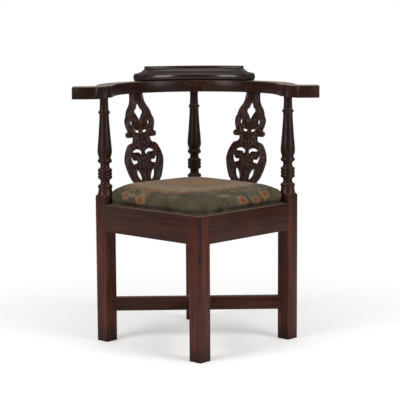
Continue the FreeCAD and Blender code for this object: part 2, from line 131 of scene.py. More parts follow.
def set_ramp(ramp_output, stops):
    """Colour stops of a ramp, each a place from 0 to 1 and a hex colour."""
    ramp = ramp_output.node.color_ramp
    while len(ramp.elements) < len(stops):
        ramp.elements.new(0.5)
    for element, (place, hex_value) in zip(ramp.elements, stops):
        element.position = place
        element.color = colour(hex_value)


def laid_over(tree, under, hex_value, value, low=0.0, high=1.0, least=0.0, most=1.0):
    """A colour laid over another: as a value goes from low to high, it covers from least to most."""
    span = (low, high, least, most)
    cover = value if span == (0, 1, 0, 1) else add_node(tree, RANGE, (value, *span))
    return add_node(tree, "ShaderNodeMix", {0: cover, 6: under, 7: colour(hex_value)}, 2, data_type="RGBA")


def noise_along(tree, board, run, across, detail=2.0, distortion=0.0):
    """Noise stretched along the grain: run is its length along the board, across its width."""
    scale = (1 / run, 1 / across, 1 / across)
    stretched = add_node(tree, MAPPING, {"Vector": board, "Scale": scale})
    links = {"Vector": stretched, "Scale": 1.0, "Detail": detail, "Distortion": distortion}
    return add_node(tree, "ShaderNodeTexNoise", links, "Fac")


def along_grain(tree, along, offset=0.0):
    """Places on a board, turned so that its grain is X. offset picks another part of the log."""
    turn = Vector(along).rotation_difference(Vector((1, 0, 0))).to_euler()
    start = (offset, offset * 0.7, offset * 0.3)
    place = add_node(tree, PLACES, output="Object")
    return add_node(tree, MAPPING, {"Vector": place, "Rotation": turn, "Location": start})


def new_finish(name):
    """A new material, its node tree and its shader."""
    material = bpy.data.materials.new(name)
    material.use_nodes = True
    return material, material.node_tree, material.node_tree.nodes["Principled BSDF"]

# %% [markdown]
# ## Mahogany, two and a half centuries old
# Mahogany is sawn, planed and scraped, then polished with oil and wax. Age has darkened it almost to
# black where hands don't reach and left it red brown where they do. The eye sees broad ribbons along
# the board, short dark pores, a soft gloss over slightly uneven scraping, grime in the corners, and
# paler, rubbed edges. Each of these is one layer below, and so is painted light: shade in the corners
# and under the seat, and a pale sheen on faces that look up. Every pattern is laid along the board's
# own grain, so the material is made once for each direction in which a board runs.

# %% Mahogany material
RIBBON, RIBBON_RUN = 9 * MM, 240 * MM       # width and length of a ribbon in the figure
FIBRE, FIBRE_RUN = 1.1 * MM, 70 * MM        # real ones are finer, but no finer ones show in a render
PORE, PORE_RUN = 0.55 * MM, 7 * MM
PATCH, PATCH_RUN = 60 * MM, 140 * MM        # patches where more of the old finish is left
RUB, RUB_RUN = 12 * MM, 30 * MM             # stretches of an edge that hands and cloths have rubbed
UNEVEN, UNEVEN_RUN = 30 * MM, 50 * MM       # more and less polished places
SCRAPE, SCRAPE_RUN = 26 * MM, 78 * MM       # hollows left by the scraper
EDGE_WEAR = 2.6 * MM
SHADE_AND_GRIME_REACH = 14 * MM
DRY_ROUGHNESS = 0.66                        # of faces that look up, where dust and light dulled it


def mahogany(name, along, offset=0.0, dark=0.0, top=0.3, waxed=0.05, shade_and_tone_above=0.76, split=0.0):
    """Old polished mahogany whose grain runs along a direction. offset picks another part of the log,
    dark from 0 to 1 adds more of the old finish, top is how much painted pale sheen the upper faces get,
    waxed is how much clear wax lies over it, handled how much darker it is from the seat up (painted
    shade under the seat and a darker upper frame), and split how dark the line is down the front corner."""
    material, tree, shader = new_finish(name)
    board = along_grain(tree, along, offset)
    ribbon = noise_along(tree, board, RIBBON_RUN, RIBBON, 3.0, 0.7)
    fibre = noise_along(tree, board, FIBRE_RUN, FIBRE)
    pore = add_node(tree, RANGE, (noise_along(tree, board, PORE_RUN, PORE, 1.0), 0.6, 0.68))
    patch = noise_along(tree, board, PATCH_RUN, PATCH)
    rubbed = add_node(tree, RANGE, (noise_along(tree, board, RUB_RUN, RUB, 3.0), 0.4, 0.62))
    uneven = noise_along(tree, board, UNEVEN_RUN, UNEVEN, 3.0)
    scraped = noise_along(tree, board, SCRAPE_RUN, SCRAPE, 1.0)

    parts = add_node(tree, PARTS, (add_node(tree, PLACES, output="Object"),)).node.outputs
    height = parts["Z"]
    # upward places a painted pale sheen on faces that look up, and their drier finish
    upward = add_node(tree, PARTS, (add_node(tree, PLACES, output="Normal"),), "Z")
    beside = add_node(tree, MATH, (parts["X"],), operation="ABSOLUTE")
    near_front_corner = add_node(tree, RANGE, (beside, 1.5 * MM, 4 * MM, split, 0.0))
    front_corner_line = add_node(tree, MATH, (near_front_corner, add_node(tree, RANGE, (height, 0.05, 0.3))), operation="MULTIPLY")
    # ambient occlusion darkens corners and hollows: painted shade there, along with grime
    corner = add_node(tree, "ShaderNodeAmbientOcclusion", {"Distance": SHADE_AND_GRIME_REACH}, "AO", samples=6)
    soft = add_node(tree, "ShaderNodeBevel", {"Radius": EDGE_WEAR}, samples=4)
    flat = add_node(tree, "ShaderNodeNewGeometry", output="Normal")
    agreement = add_node(tree, "ShaderNodeVectorMath", (soft, flat), "Value", operation="DOT_PRODUCT")
    edge = add_node(tree, RANGE, (agreement, 0.985, 0.86))
    wear = add_node(tree, MATH, (edge, rubbed), operation="MULTIPLY")

    look = add_node(tree, "ShaderNodeValToRGB", (ribbon,))
    set_ramp(look, [(0.28, "#3d2018"), (0.5, "#5b2d23"), (0.72, "#734031")])
    for layer in (
            ("#1c0b08", fibre, 0.3, 0.7, 0.0, 0.38),                                  # fibres
            ("#21100c", patch, 0.35, 0.7, 0.15 + 0.5 * dark, 0.55 + 0.45 * dark),     # old finish
            ("#120704", front_corner_line),                                                      # dark line down the front corner
            ("#190b07", height, 0.33, 0.5, 0.0, shade_and_tone_above),                             # painted shade under the seat, and a darker upper frame
            ("#140907", height, 0.0, 0.055, 0.6, 0.0),                                # scuffed feet
            ("#a08c80", upward, 0.8, 0.98, 0.0, top),                                 # painted pale sheen on faces that look up
            ("#0e0504", pore, 0, 1, 0, 0.75),                                         # pores
            ("#0c0504", corner, 0.35, 0.85, 0.75, 0.0),                               # grime and painted shade in corners
            ("#8a5a42", wear, 0, 1, 0, 0.55)):                                        # rubbed edges
        look = laid_over(tree, look, *layer)

    hollow = add_node(tree, BUMP, {"Height": scraped, "Strength": 0.35, "Distance": 0.8 * MM})
    links = {"Height": fibre, "Strength": 0.25, "Distance": 0.06 * MM, "Normal": hollow}
    ridged = add_node(tree, BUMP, links)
    links = {"Height": pore, "Strength": 0.5, "Distance": 0.08 * MM, "Normal": ridged}
    pitted = add_node(tree, BUMP, links, invert=True)
    polished = add_node(tree, RANGE, (uneven, 0.3, 0.75, 0.28, 0.44))
    dry = add_node(tree, RANGE, (upward, 0.7, 0.95))
    rough = add_node(tree, "ShaderNodeMix", {0: dry, 2: polished, 3: DRY_ROUGHNESS})
    coat = add_node(tree, RANGE, (dry, 0, 1, waxed, 0.0))
    connect(tree, shader, {"Base Color": look, "Roughness": rough, "Coat Weight": coat, "Normal": pitted,
                           "IOR": 1.5, "Specular IOR Level": 0.16, "Coat Roughness": 0.16})
    return material


UPRIGHT = (0, 0, 1)
RISING = (1, 1, 0)       # seen from above, from the front left to the back right
FALLING = (1, -1, 0)     # and from the back left to the front right
upright_wood = mahogany("polished_mahogany_upright", UPRIGHT, dark=-0.35, shade_and_tone_above=0.85)
front_wood = mahogany("polished_mahogany_front_leg", UPRIGHT, dark=-0.35, shade_and_tone_above=0.85, split=0.85)
rising_wood = mahogany("polished_mahogany_back_left", RISING, 0.31, 0.5, 0.35)
falling_wood = mahogany("polished_mahogany_back_right", FALLING, 0.57, 0.5, 0.35)
# The right arm's copy is lighter than the left's (no added old finish, less darkening above): painted light
# on the right arm.
left_arm_wood = mahogany("polished_mahogany_arm_left", RISING, 0.93, 0.55, 0.66)
right_arm_wood = mahogany("polished_mahogany_arm_right", FALLING, 1.13, 0.0, 0.66, shade_and_tone_above=0.66)
long_wood = mahogany("polished_mahogany_long_stretcher", (0, 1, 0), 0.83, 0.6)
cross_wood = mahogany("polished_mahogany_cross_stretcher", (1, 0, 0), 0.19, 0.6)
print("mahogany mixed:", len(bpy.data.materials), "materials")

# %% [markdown]
# ## Turning a shape into a piece of the chair
# Each new mesh becomes an object at the origin. It rides on the body that the CAD gives it, and
# stands for the CAD nodes that it replaces, so MuJoCo still moves and weighs the plain solid.

# %% Placing a piece

def grid_faces(rows, columns, closed=False):
    """Quads of a grid of points numbered row by row. A closed grid joins its last column to its first."""
    last = columns if closed else columns - 1
    row, column = np.meshgrid(np.arange(rows - 1), np.arange(last), indexing="ij")
    here, above = row * columns, (row + 1) * columns
    right = (column + 1) % columns
    corners = [here + column, here + right, above + right, above + column]
    return np.stack(corners, axis=-1).reshape(-1, 4)


def tube_faces(rows, around):
    """Quads of a closed grid, and one more face over each of its ends."""
    return [*grid_faces(rows, around, closed=True), range(around)[::-1],
            range((rows - 1) * around, rows * around)]


def new_mesh(name, points, faces):
    """A mesh from an array of points in metres and lists of point numbers."""
    mesh = bpy.data.meshes.new(name)
    points = np.asarray(points, float).reshape(-1, 3).tolist()
    mesh.from_pydata(points, [], [list(map(int, face)) for face in faces])
    mesh.update()
    return mesh


def tidy(mesh, distance=1e-6):
    """Merges points that fall together and turns every face outwards."""
    work = bmesh.new()
    work.from_mesh(mesh)
    bmesh.ops.remove_doubles(work, verts=work.verts, dist=distance)
    bmesh.ops.dissolve_degenerate(work, edges=work.edges, dist=distance)
    bmesh.ops.recalc_face_normals(work, faces=work.faces)
    work.to_mesh(mesh)
    work.free()
    return mesh


def smooth(mesh, sharp_over=35):
    """Smooth shading, kept crisp where two faces meet at more than an angle in degrees."""
    mesh.polygons.foreach_set("use_smooth", np.ones(len(mesh.polygons), bool))
    mesh.set_sharp_from_angle(angle=math.radians(sharp_over))


def fit(name, mesh, material, body, slot, *stands_for):
    """Adds a finished mesh to the chair as a piece that rides on a body and stands for CAD nodes."""
    piece = in_scene(name, mesh)
    mesh.materials.clear()
    mesh.materials.append(material)
    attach(piece, body)
    if stands_for:
        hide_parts(*stands_for)
    return piece

# %% [markdown]
# ## Sawn pieces with eased edges
# Rails, stretchers, shoes and the front leg are straight sawn wood. The CAD solid has the right shape
# but knife-sharp edges, and real edges have been planed and rubbed round. A copy of the solid is
# merged, its flat faces are joined into whole ones, and a Bevel modifier rounds every edge.

# %% Easing the edges of a CAD solid
SAWN_EDGE = 1.3 * MM
ARM_EDGE = 2.2 * MM
EASED_OVER = 30          # degrees between two faces, over which their edge is eased


def merged_copy(node, flat_within=0.5):
    """A copy of a CAD node's loose triangles, with shared points and whole flat faces."""
    mesh = nodes[node].data.copy()
    work = bmesh.new()
    work.from_mesh(mesh)
    bmesh.ops.remove_doubles(work, verts=work.verts, dist=2e-5)
    limit = math.radians(flat_within)
    bmesh.ops.dissolve_limit(work, angle_limit=limit, verts=work.verts, edges=work.edges)
    work.to_mesh(mesh)
    work.free()
    return mesh


def eased(node, material, width, segments=2, body=CHAIR, slot="mahogany"):
    """The node's solid with every edge rounded over a width in metres."""
    piece = fit(node + "_eased", merged_copy(node), material, body, slot, node)
    smooth(piece.data, 180)
    bevel = piece.modifiers.new("eased_edges", "BEVEL")
    bevel.width = width
    bevel.segments = segments
    bevel.limit_method = "ANGLE"
    bevel.angle_limit = math.radians(EASED_OVER)
    bevel.harden_normals = True
    return piece


for node, wood in (("post_front", front_wood), ("stretcher_long", long_wood), ("stretcher_side", cross_wood),
                   ("rail_back_left", rising_wood), ("rail_front_right", rising_wood),
                   ("rail_back_right", falling_wood), ("rail_front_left", falling_wood),
                   ("shoe_left", rising_wood), ("shoe_right", falling_wood)):
    eased(node, wood, SAWN_EDGE)
eased("arm_left", left_arm_wood, ARM_EDGE, 3)
eased("arm_right", right_arm_wood, ARM_EDGE, 3)

# %% [markdown]
# ## Turned legs
# Each back or side leg is one stick. Its lower part is left square, and the part above the rails was
# turned on a lathe: a flared foot, a bead, a deep hollow, three beads, another hollow, a bead, then a
# swelling that tapers to a thin neck under the arm. A lathe shape is a profile spun about its axis,
# so it is a grid of radius against height and angle, and nothing else makes it as exactly round.

# %% The turner's profile
BLOCK_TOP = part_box("rail_back_left")[1].z + 28 * MM
ARM_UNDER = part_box("arm_left")[0].z
FOOT_RADIUS = 23.2       # of the turning, where it leaves the square block, in millimetres
DRAWN_RISE = 295         # height of the turning as it is drawn below, in millimetres


def bead(radius, low, high, swell, count=12):
    """Half an ellipse in heights low to high: it swells from the radius, or hollows if swell is negative."""
    turn = np.linspace(0, math.pi, count)
    middle, half = (low + high) / 2, (high - low) / 2
    return np.column_stack([radius + swell * np.sin(turn), middle - half * np.cos(turn)])


def through(marks, count):
    """A smooth curve through marks, each piece a cubic whose slopes come from the marks beside it."""
    marks = np.asarray(marks, float)
    ahead = np.vstack([marks[1:], 2 * marks[-1] - marks[-2]])
    behind = np.vstack([2 * marks[0] - marks[1], marks[:-1]])
    slope = (ahead - behind) / 2
    where = np.linspace(0, len(marks) - 1, count)
    piece = np.minimum(where.astype(int), len(marks) - 2)
    t = (where - piece)[:, None]
    start, end = marks[piece], marks[piece + 1]
    return ((2 * t**3 - 3 * t**2 + 1) * start + (t**3 - 2 * t**2 + t) * slope[piece]
            + (3 * t**2 - 2 * t**3) * end + (t**3 - t**2) * slope[piece + 1])


def turned_profile():
    """Radius and height in millimetres above the square block, from the foot of the turning up."""
    parts = [
        through([(FOOT_RADIUS, -1), (23, 1), (21.4, 9), (20.4, 18)], 14),
        bead(19.7, 19.2, 29.6, 2.4),
        bead(19.6, 30.2, 47.8, -5.9, 20),
        bead(19.5, 48.4, 57.8, 2.1),
        bead(19.3, 58.2, 68.4, 2.3),
        bead(19.5, 68.8, 78.4, 2.1),
        bead(19.5, 79.0, 97.0, -5.8, 20),
        bead(19.3, 97.6, 107.4, 2.3),
        through([(18.3, 108.4), (18, 111), (18.6, 114.5), (20.2, 119), (21.5, 125), (21.9, 132),
                 (21.3, 142), (20.5, 152), (19.5, 163), (18.2, 178), (17.1, 194), (15.9, 209),
                 (15, 224), (14.4, 238), (14.3, 241.5)], 60),
        bead(15.2, 242.4, 244.4, 0.5, 5),
        bead(15.4, 244.8, 251.2, 2.7),
        bead(14.8, 251.6, 253.4, 0.5, 5),
        through([(13.7, 254), (13.2, 262), (12.7, 276), (12.7, 288), (13.7, 295.5)], 20),
    ]
    return np.vstack(parts)


def turned_column(centre, around=72):
    """The profile spun about an upright line: x and y are radius times cosine and sine of the turn."""
    profile = turned_profile()
    radius = profile[:, :1] * MM
    height = BLOCK_TOP + profile[:, 1] * (ARM_UNDER - BLOCK_TOP) / DRAWN_RISE
    turn = np.linspace(0, 2 * math.pi, around, endpoint=False)
    x, y = centre.x + radius * np.cos(turn), centre.y + radius * np.sin(turn)
    z = np.repeat(height[:, None], around, axis=1)
    return np.stack([x, y, z], axis=-1), tube_faces(len(profile), around)

# %% [markdown]
# The square part under the turning is a rounded square carried up the leg. Near its top the turner's
# tool has cut the corners down to a circle, so there no point may lie further from the middle than
# the tool, whose distance follows a quarter of an ellipse.

# %% The square block below the turning
FOOT_ROUND = 1.5 * MM    # height over which the foot draws in to the floor
NO_LIMIT = 1.0           # further out than any point


def leg_block(centre, half=21.25 * MM, ease=1.4 * MM, shoulder=9 * MM, per_corner=7, per_side=9):
    """A rounded square set cornerwise, swept from the floor to the foot of the turning."""
    bend = np.linspace(0, math.pi / 2, per_corner)
    corner = np.column_stack([half - ease + ease * np.cos(bend), half - ease + ease * np.sin(bend)])
    across = np.linspace(1, -1, per_side + 2)[1:-1, None] * (half - ease)
    quarter = np.vstack([corner, np.column_stack([across, np.full(per_side, half)])])
    turns = [np.array([[math.cos(a), math.sin(a)], [-math.sin(a), math.cos(a)]])
             for a in np.arange(4) * math.pi / 2]
    cornerwise = np.array([[1, 1], [-1, 1]]) / math.sqrt(2)
    square = np.vstack([quarter @ turn for turn in turns]) @ cornerwise

    foot = np.linspace(0, 1, 4)
    straight = np.linspace(0.01, BLOCK_TOP - shoulder - 0.003, 12)
    cut = np.linspace(0, math.pi / 2, 9)
    tool = FOOT_RADIUS * MM + (half * math.sqrt(2) - FOOT_RADIUS * MM) * np.cos(cut)
    height = np.concatenate([FOOT_ROUND * foot, straight, BLOCK_TOP - shoulder + shoulder * np.sin(cut)])
    size = np.concatenate([1 - 0.06 * (1 - np.sin(foot * math.pi / 2)), np.ones(len(straight) + len(cut))])
    limit = np.concatenate([np.full(len(foot) + len(straight), NO_LIMIT), tool])

    ring = square[None] * size[:, None, None]
    reach = np.linalg.norm(ring, axis=2)
    ring = ring * np.minimum(1, limit[:, None] / reach)[..., None]
    around = ring.shape[1]
    z = np.repeat(height[:, None], around, axis=1)
    points = np.concatenate([ring + np.array([centre.x, centre.y]), z[..., None]], axis=2)
    return points, tube_faces(len(height), around)


def turned_leg(side):
    """Block and column of one leg as two closed shells of one mesh."""
    low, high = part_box("post_" + side)
    name = "post_" + side + "_turned"
    block, block_faces = leg_block((low + high) / 2)
    column, column_faces = turned_column((low + high) / 2)
    block = block.reshape(-1, 3)
    faces = block_faces + [[number + len(block) for number in face] for face in column_faces]
    mesh = tidy(new_mesh(name, np.vstack([block, column.reshape(-1, 3)]), faces))
    smooth(mesh, 40)
    return fit(name, mesh, upright_wood, CHAIR, "mahogany", "post_" + side)


for side in ("left", "right", "back"):
    leg = turned_leg(side)
    print(leg.name, len(leg.data.polygons), "faces")

# %% [markdown]
# ## The crest rail
# The crest is a thick moulding glued on the back of the arm. From below it has a half-round nosing,
# then a hollow that sweeps back to a narrow flat top, and the same moulding turns the corner at each
# end. Seen from above, each level of the moulding is one closed loop: in along one end, round the
# front, out along the other end, and back along the outside. Stacking the loops gives the whole.

# %% Loops of the crest moulding
crest_low, crest_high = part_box("crest_rail")
CREST_HEIGHT = crest_high.z - crest_low.z
CREST_OUT = crest_high.y             # radius of the back
CREST_IN = CREST_OUT - 46.0 * MM     # radius of the nosing
FLAT_TOP = 15 * MM                   # width of the flat top
END_FOOT, END_TOP = 2 * MM, 46 * MM  # the ends draw in this far from the end planes, below and above
HALF_ANGLE = math.radians(41.5)
NOSING = 24 * MM
BULGE = 8.5 * MM                     # the nosing stands out this far
FILLET = 1.2 * MM                    # the top's edge draws in this far
EDGE_HEIGHT = 5.2 * MM               # of the upright fillet under the flat top
TOP_ROUND = 2.0 * MM                 # easing of the top's back edge


def moulding(start, end):
    """Inset and height of the moulding: half an ellipse for the nosing, then a hollow, whose height is
    one minus the cosine and whose inset is mostly the sine, and an upright fillet."""
    turn = np.linspace(0, math.pi, 18)
    nosing = np.column_stack([start + BULGE * (1 - np.sin(turn) ** 0.9), NOSING / 2 * (1 - np.cos(turn))])
    sweep = np.linspace(0, math.pi / 2, 21)
    foot = start + BULGE + 0.6 * MM
    rise = CREST_HEIGHT - NOSING - 6 * MM
    inset = foot + (end - foot) * (0.8 * np.sin(sweep) + 0.2 * (1 - np.cos(sweep)))
    hollow = np.column_stack([inset, NOSING + 0.4 * MM + rise * (1 - np.cos(sweep))])
    fillet = [[end - FILLET, CREST_HEIGHT - EDGE_HEIGHT], [end - FILLET, CREST_HEIGHT - 0.8 * MM]]
    return np.vstack([nosing, hollow, fillet])


def crest_loops(front_count=60, end_count=10):
    """Points of every loop. A loop's front runs at one radius, its ends at one inset from the end planes."""
    front = moulding(CREST_IN, CREST_OUT - FLAT_TOP)
    ends = moulding(END_FOOT, END_TOP)
    rows = np.column_stack([front[:, 0], ends[:, 0], front[:, 1], np.full(len(front), CREST_OUT)])
    top = [front[-1, 0] + FILLET, ends[-1, 0] + FILLET, CREST_HEIGHT, CREST_OUT - TOP_ROUND]
    along_end = np.array([math.sin(HALF_ANGLE), math.cos(HALF_ANGLE)])
    into = np.array([-math.cos(HALF_ANGLE), math.sin(HALF_ANGLE)])
    loops = []
    for radius, inset, height, outside in np.vstack([rows, top]):
        mitre = HALF_ANGLE - math.asin(inset / radius)
        corner = HALF_ANGLE - math.asin(inset / outside)
        far, near = outside * math.cos(HALF_ANGLE - corner), radius * math.cos(HALF_ANGLE - mitre)
        right_end = np.linspace(far, near, end_count)[:, None] * along_end + inset * into
        angle = np.linspace(mitre, -mitre, front_count)[1:-1]
        face = radius * np.column_stack([np.sin(angle), np.cos(angle)])
        left_end = right_end[::-1] * np.array([-1, 1])
        angle = np.linspace(-corner, corner, front_count + 2 * end_count - 2)[1:-1]
        outer = outside * np.column_stack([np.sin(angle), np.cos(angle)])
        loop = np.vstack([right_end, face, left_end, outer])
        loops.append(np.column_stack([loop, np.full(len(loop), crest_low.z + height)]))
    return np.array(loops)


def crest_mesh():
    """The stacked loops, closed by strips between front and back at the foot and on top."""
    loops = crest_loops()
    rows, around = loops.shape[:2]
    faces = [*grid_faces(rows, around, closed=True)]
    for base, flip in ((0, 1), ((rows - 1) * around, -1)):
        for i in range(around // 2 - 1):
            quad = [base + i, base + around - 1 - i, base + (around - 2 - i), base + i + 1]
            faces.append(quad[::flip])
    return tidy(new_mesh("crest_rail_moulded", loops, faces), 2e-5)


crest_wood = mahogany("polished_mahogany_crest", (1, 0, 0), 0.43, 0.9, 0.08, 0.7)
crest = crest_mesh()
smooth(crest, 32)
fit("crest_rail_moulded", crest, crest_wood, CHAIR, "mahogany", "crest_rail")
print("crest", len(crest.polygons), "faces")

# %% [markdown]
# ## Carved splats
# Each back panel was sawn out of a thin board, pierced with a fretsaw, and then carved: the straps
# got rounded edges and an incised line along them, the scrolls got spiral lines and drilled eyes, and
# the palmette at the foot got flutes. A carved board is a height field, one depth for each point of
# its face. So the outline of the CAD solid is laid flat and filled with small triangles that respect
# it, each point is sunk by the depth of the carving there, and the whole is leaned back again.

# %% Laying a splat flat
SPLAT_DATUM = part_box("rail_back_left")[1].z + 10 * MM     # the carver's drawing starts here
SPLAT_THICK = 9.5 * MM
print("splats are drawn upwards from", round(SPLAT_DATUM, 4))


def chained(border):
    """Closed loops of vertices from the border edges that join them, walked one after another."""
    beside = {}
    for edge in border:
        near, far = edge.verts
        beside.setdefault(near, []).append(far)
        beside.setdefault(far, []).append(near)
    loops = []
    while beside:
        here, loop = next(iter(beside)), []
        while here is not None:
            loop.append(here.co.copy())
            here = next((far for far in beside.pop(here) if far in beside), None)
        loops.append(loop)
    return loops


def flat_front(node):
    """Loops of the plate's front face as (across, up) in millimetres, and the matrix that carries
    across, up and out of the face, in metres, back to the chair."""
    work = bmesh.new()
    work.from_mesh(merged_copy(node, 0.2))
    largest = max((face for face in work.faces if face.normal.y < 0), key=lambda face: face.calc_area())
    facing = largest.normal.copy()
    level = largest.verts[0].co.dot(facing)
    front = {face for face in work.faces
             if face.normal.dot(facing) > 0.999 and abs(face.verts[0].co.dot(facing) - level) < 0.2 * MM}
    border = [edge for edge in work.edges if sum(face in front for face in edge.link_faces) == 1]
    up = (Vector((0, 0, 1)) - facing * facing.z).normalized()
    across = up.cross(facing)
    start = facing * level
    start += up * ((SPLAT_DATUM + SPLAT_THICK / 2 * facing.z - start.z) / up.z)
    place = Matrix.Translation(start) @ Matrix((across, up, facing)).transposed().to_4x4()
    back = place.inverted()
    loops = [np.array([(back @ point).xy for point in loop]) / MM for loop in chained(border)]
    work.free()
    return loops, place

# %% [markdown]
# The outline is a set of straight pieces, and two tests are asked of every point of the face. It is
# inside the wood if a line drawn from it to the right crosses the outline an odd number of times, and
# its distance from the nearest edge tells how the carver rounded it there.

# %% Inside, and how far from an edge

def straight_pieces(loops):
    """Starts and ends of all the straight pieces of closed loops."""
    return np.vstack(loops), np.vstack([np.roll(loop, -1, axis=0) for loop in loops])


def inside(points, starts, ends):
    """The even-odd test, for all points against all pieces of the outline at once."""
    height = points[:, 1:2]
    spans = (starts[:, 1] > height) != (ends[:, 1] > height)
    rise = np.where(ends[:, 1] == starts[:, 1], 1, ends[:, 1] - starts[:, 1])
    crossing = starts[:, 0] + (height - starts[:, 1]) * (ends[:, 0] - starts[:, 0]) / rise
    return ((points[:, :1] < crossing) & spans).sum(axis=1) % 2 == 1


def distance_to(points, starts, ends):
    """Distance from each point to the nearest of the straight pieces from starts to ends."""
    run = ends - starts
    found = []
    for some in np.array_split(points, len(points) // 3000 + 1):
        away = some[:, None] - starts
        along = np.clip((away * run).sum(axis=2) / (run**2).sum(axis=1), 0, 1)
        found.append(np.linalg.norm(away - along[..., None] * run, axis=2).min(axis=1))
    return np.concatenate(found)

# %% [markdown]
# The carver worked the sawn outline a little further: each strap was left slightly fuller than the
# saw's line in the CAD, and each scroll stayed joined to the rim by a small bridge of wood. Both are
# changes to the flat loops, before anything is filled.

# %% Refining the outline
SCROLL_ACROSS, SCROLL_UP = 34, 120       # the middle of the right scroll, in millimetres
SCROLL_RIM = 17                          # points further from it than this belong to the rim
BRIDGE_AT_RIM = (13, 42)                 # degrees about that middle between which the wood was left
BRIDGE_AT_SCROLL = (-14, 64)
RIM_DRAWN_IN = 4.5
FULLER = 0.8


def even_steps(loop, step=1.4):
    """The same closed loop with points added along its runs, none further apart than a step."""
    closed = np.vstack([loop, loop[:1]])
    length = np.concatenate([[0], np.cumsum(np.linalg.norm(np.diff(closed, axis=0), axis=1))])
    added = np.arange(0, length[-1], step)
    added = added[np.abs(added[:, None] - length).min(axis=1) > 0.4 * step]
    marks = np.sort(np.concatenate([length[:-1], added]))
    return np.column_stack([np.interp(marks, length, closed[:, axis]) for axis in (0, 1)])


def grown(loops, by):
    """The loops moved off the wood by a few tenths, so that every strap is that much fuller."""
    starts, ends = straight_pieces(loops)
    run = np.vstack([np.roll(loop, -1, axis=0) - np.roll(loop, 1, axis=0) for loop in loops])
    out = np.column_stack([run[:, 1], -run[:, 0]]) / np.linalg.norm(run, axis=1)[:, None]
    out[inside(starts + 0.3 * out, starts, ends)] *= -1
    moved = starts + by * out
    low, high = starts[:, 1].min(), starts[:, 1].max()
    moved[:, 1] = np.clip(moved[:, 1], low, high)
    at_end = (starts[:, 1] < low + 0.1) | (starts[:, 1] > high - 0.1)
    moved[at_end, 1] = starts[at_end, 1]
    return np.split(moved, np.cumsum([len(loop) for loop in loops])[:-1])


def bridged(loop):
    """A scroll's opening in two parts, and any other opening whole. The carver left each scroll joined
    to the rim at its upper outer side, and drew the rim in below that. Points are kept or left out by
    their distance and angle from the middle of the scroll."""
    side = np.sign(loop[:, 0].mean())
    across, up = loop[:, 0] * side - SCROLL_ACROSS, loop[:, 1] - SCROLL_UP
    if across.min() < -SCROLL_ACROSS or np.ptp(up) < 50:
        return [loop]
    angle = np.degrees(np.arctan2(up, across))
    rim = np.hypot(across, up) > SCROLL_RIM
    at_rim, at_scroll = ((angle > low) & (angle < high) for low, high in (BRIDGE_AT_RIM, BRIDGE_AT_SCROLL))
    left_out = np.where(rim, at_rim, at_scroll)
    drawn_in = RIM_DRAWN_IN * rim * np.clip((2 - up) / 12, 0, 1) * np.clip((across - 4) / 10, 0, 1)
    moved = np.column_stack([side * (across + SCROLL_ACROSS - drawn_in), loop[:, 1]])
    order = np.roll(np.arange(len(loop)), -np.argmax(left_out))
    parts = np.split(order, np.flatnonzero(left_out[order]))
    return [moved[part[1:]] for part in parts if len(part) > 3]

# %% [markdown]
# The refined loops are filled with triangles of one size, small enough for the finest gouge. They
# come from a Delaunay triangulation, which keeps the loops as edges and makes few thin slivers.

# %% Filling the outline

def filled(loops, spacing):
    """Points and triangles that fill the loops: the loops' own points first, then an even pattern."""
    starts, ends = straight_pieces(loops)
    low, high = starts.min(axis=0), starts.max(axis=0)
    up, across = np.arange(low[1], high[1], spacing * 0.87), np.arange(low[0], high[0], spacing)
    row, column = np.meshgrid(up, across, indexing="ij")
    column = column + np.where(np.arange(len(row)) % 2, spacing / 2, 0)[:, None]
    pattern = np.column_stack([column.ravel(), row.ravel()])
    pattern = pattern[inside(pattern, starts, ends)]
    pattern = pattern[distance_to(pattern, starts, ends) > 0.55 * spacing]
    points = np.vstack([starts, pattern])
    first = np.cumsum([0] + [len(loop) for loop in loops])
    links = [(a + i, a + (i + 1) % (b - a)) for a, b in zip(first, first[1:]) for i in range(b - a)]
    made = delaunay_2d_cdt([Vector(point) for point in points.tolist()], links, [], 0, 1e-5)
    points, triangles = np.array([tuple(point) for point in made[0]]), np.array(made[2])
    triangles = triangles[inside(points[triangles].mean(axis=1), starts, ends)]
    a, b, c = (points[triangles[:, i]] for i in range(3))
    turned = (b[:, 0] - a[:, 0]) * (c[:, 1] - a[:, 1]) < (b[:, 1] - a[:, 1]) * (c[:, 0] - a[:, 0])
    triangles[turned] = triangles[turned][:, ::-1]
    return points, triangles, links

# %% [markdown]
# The carver's tools make only a few kinds of cut: a rounded edge, a line that follows an edge, and
# a stroke of a gouge or veiner along a curve. Strokes are drawn for the right half alone, because
# the ornament is the same on both sides of its middle line.

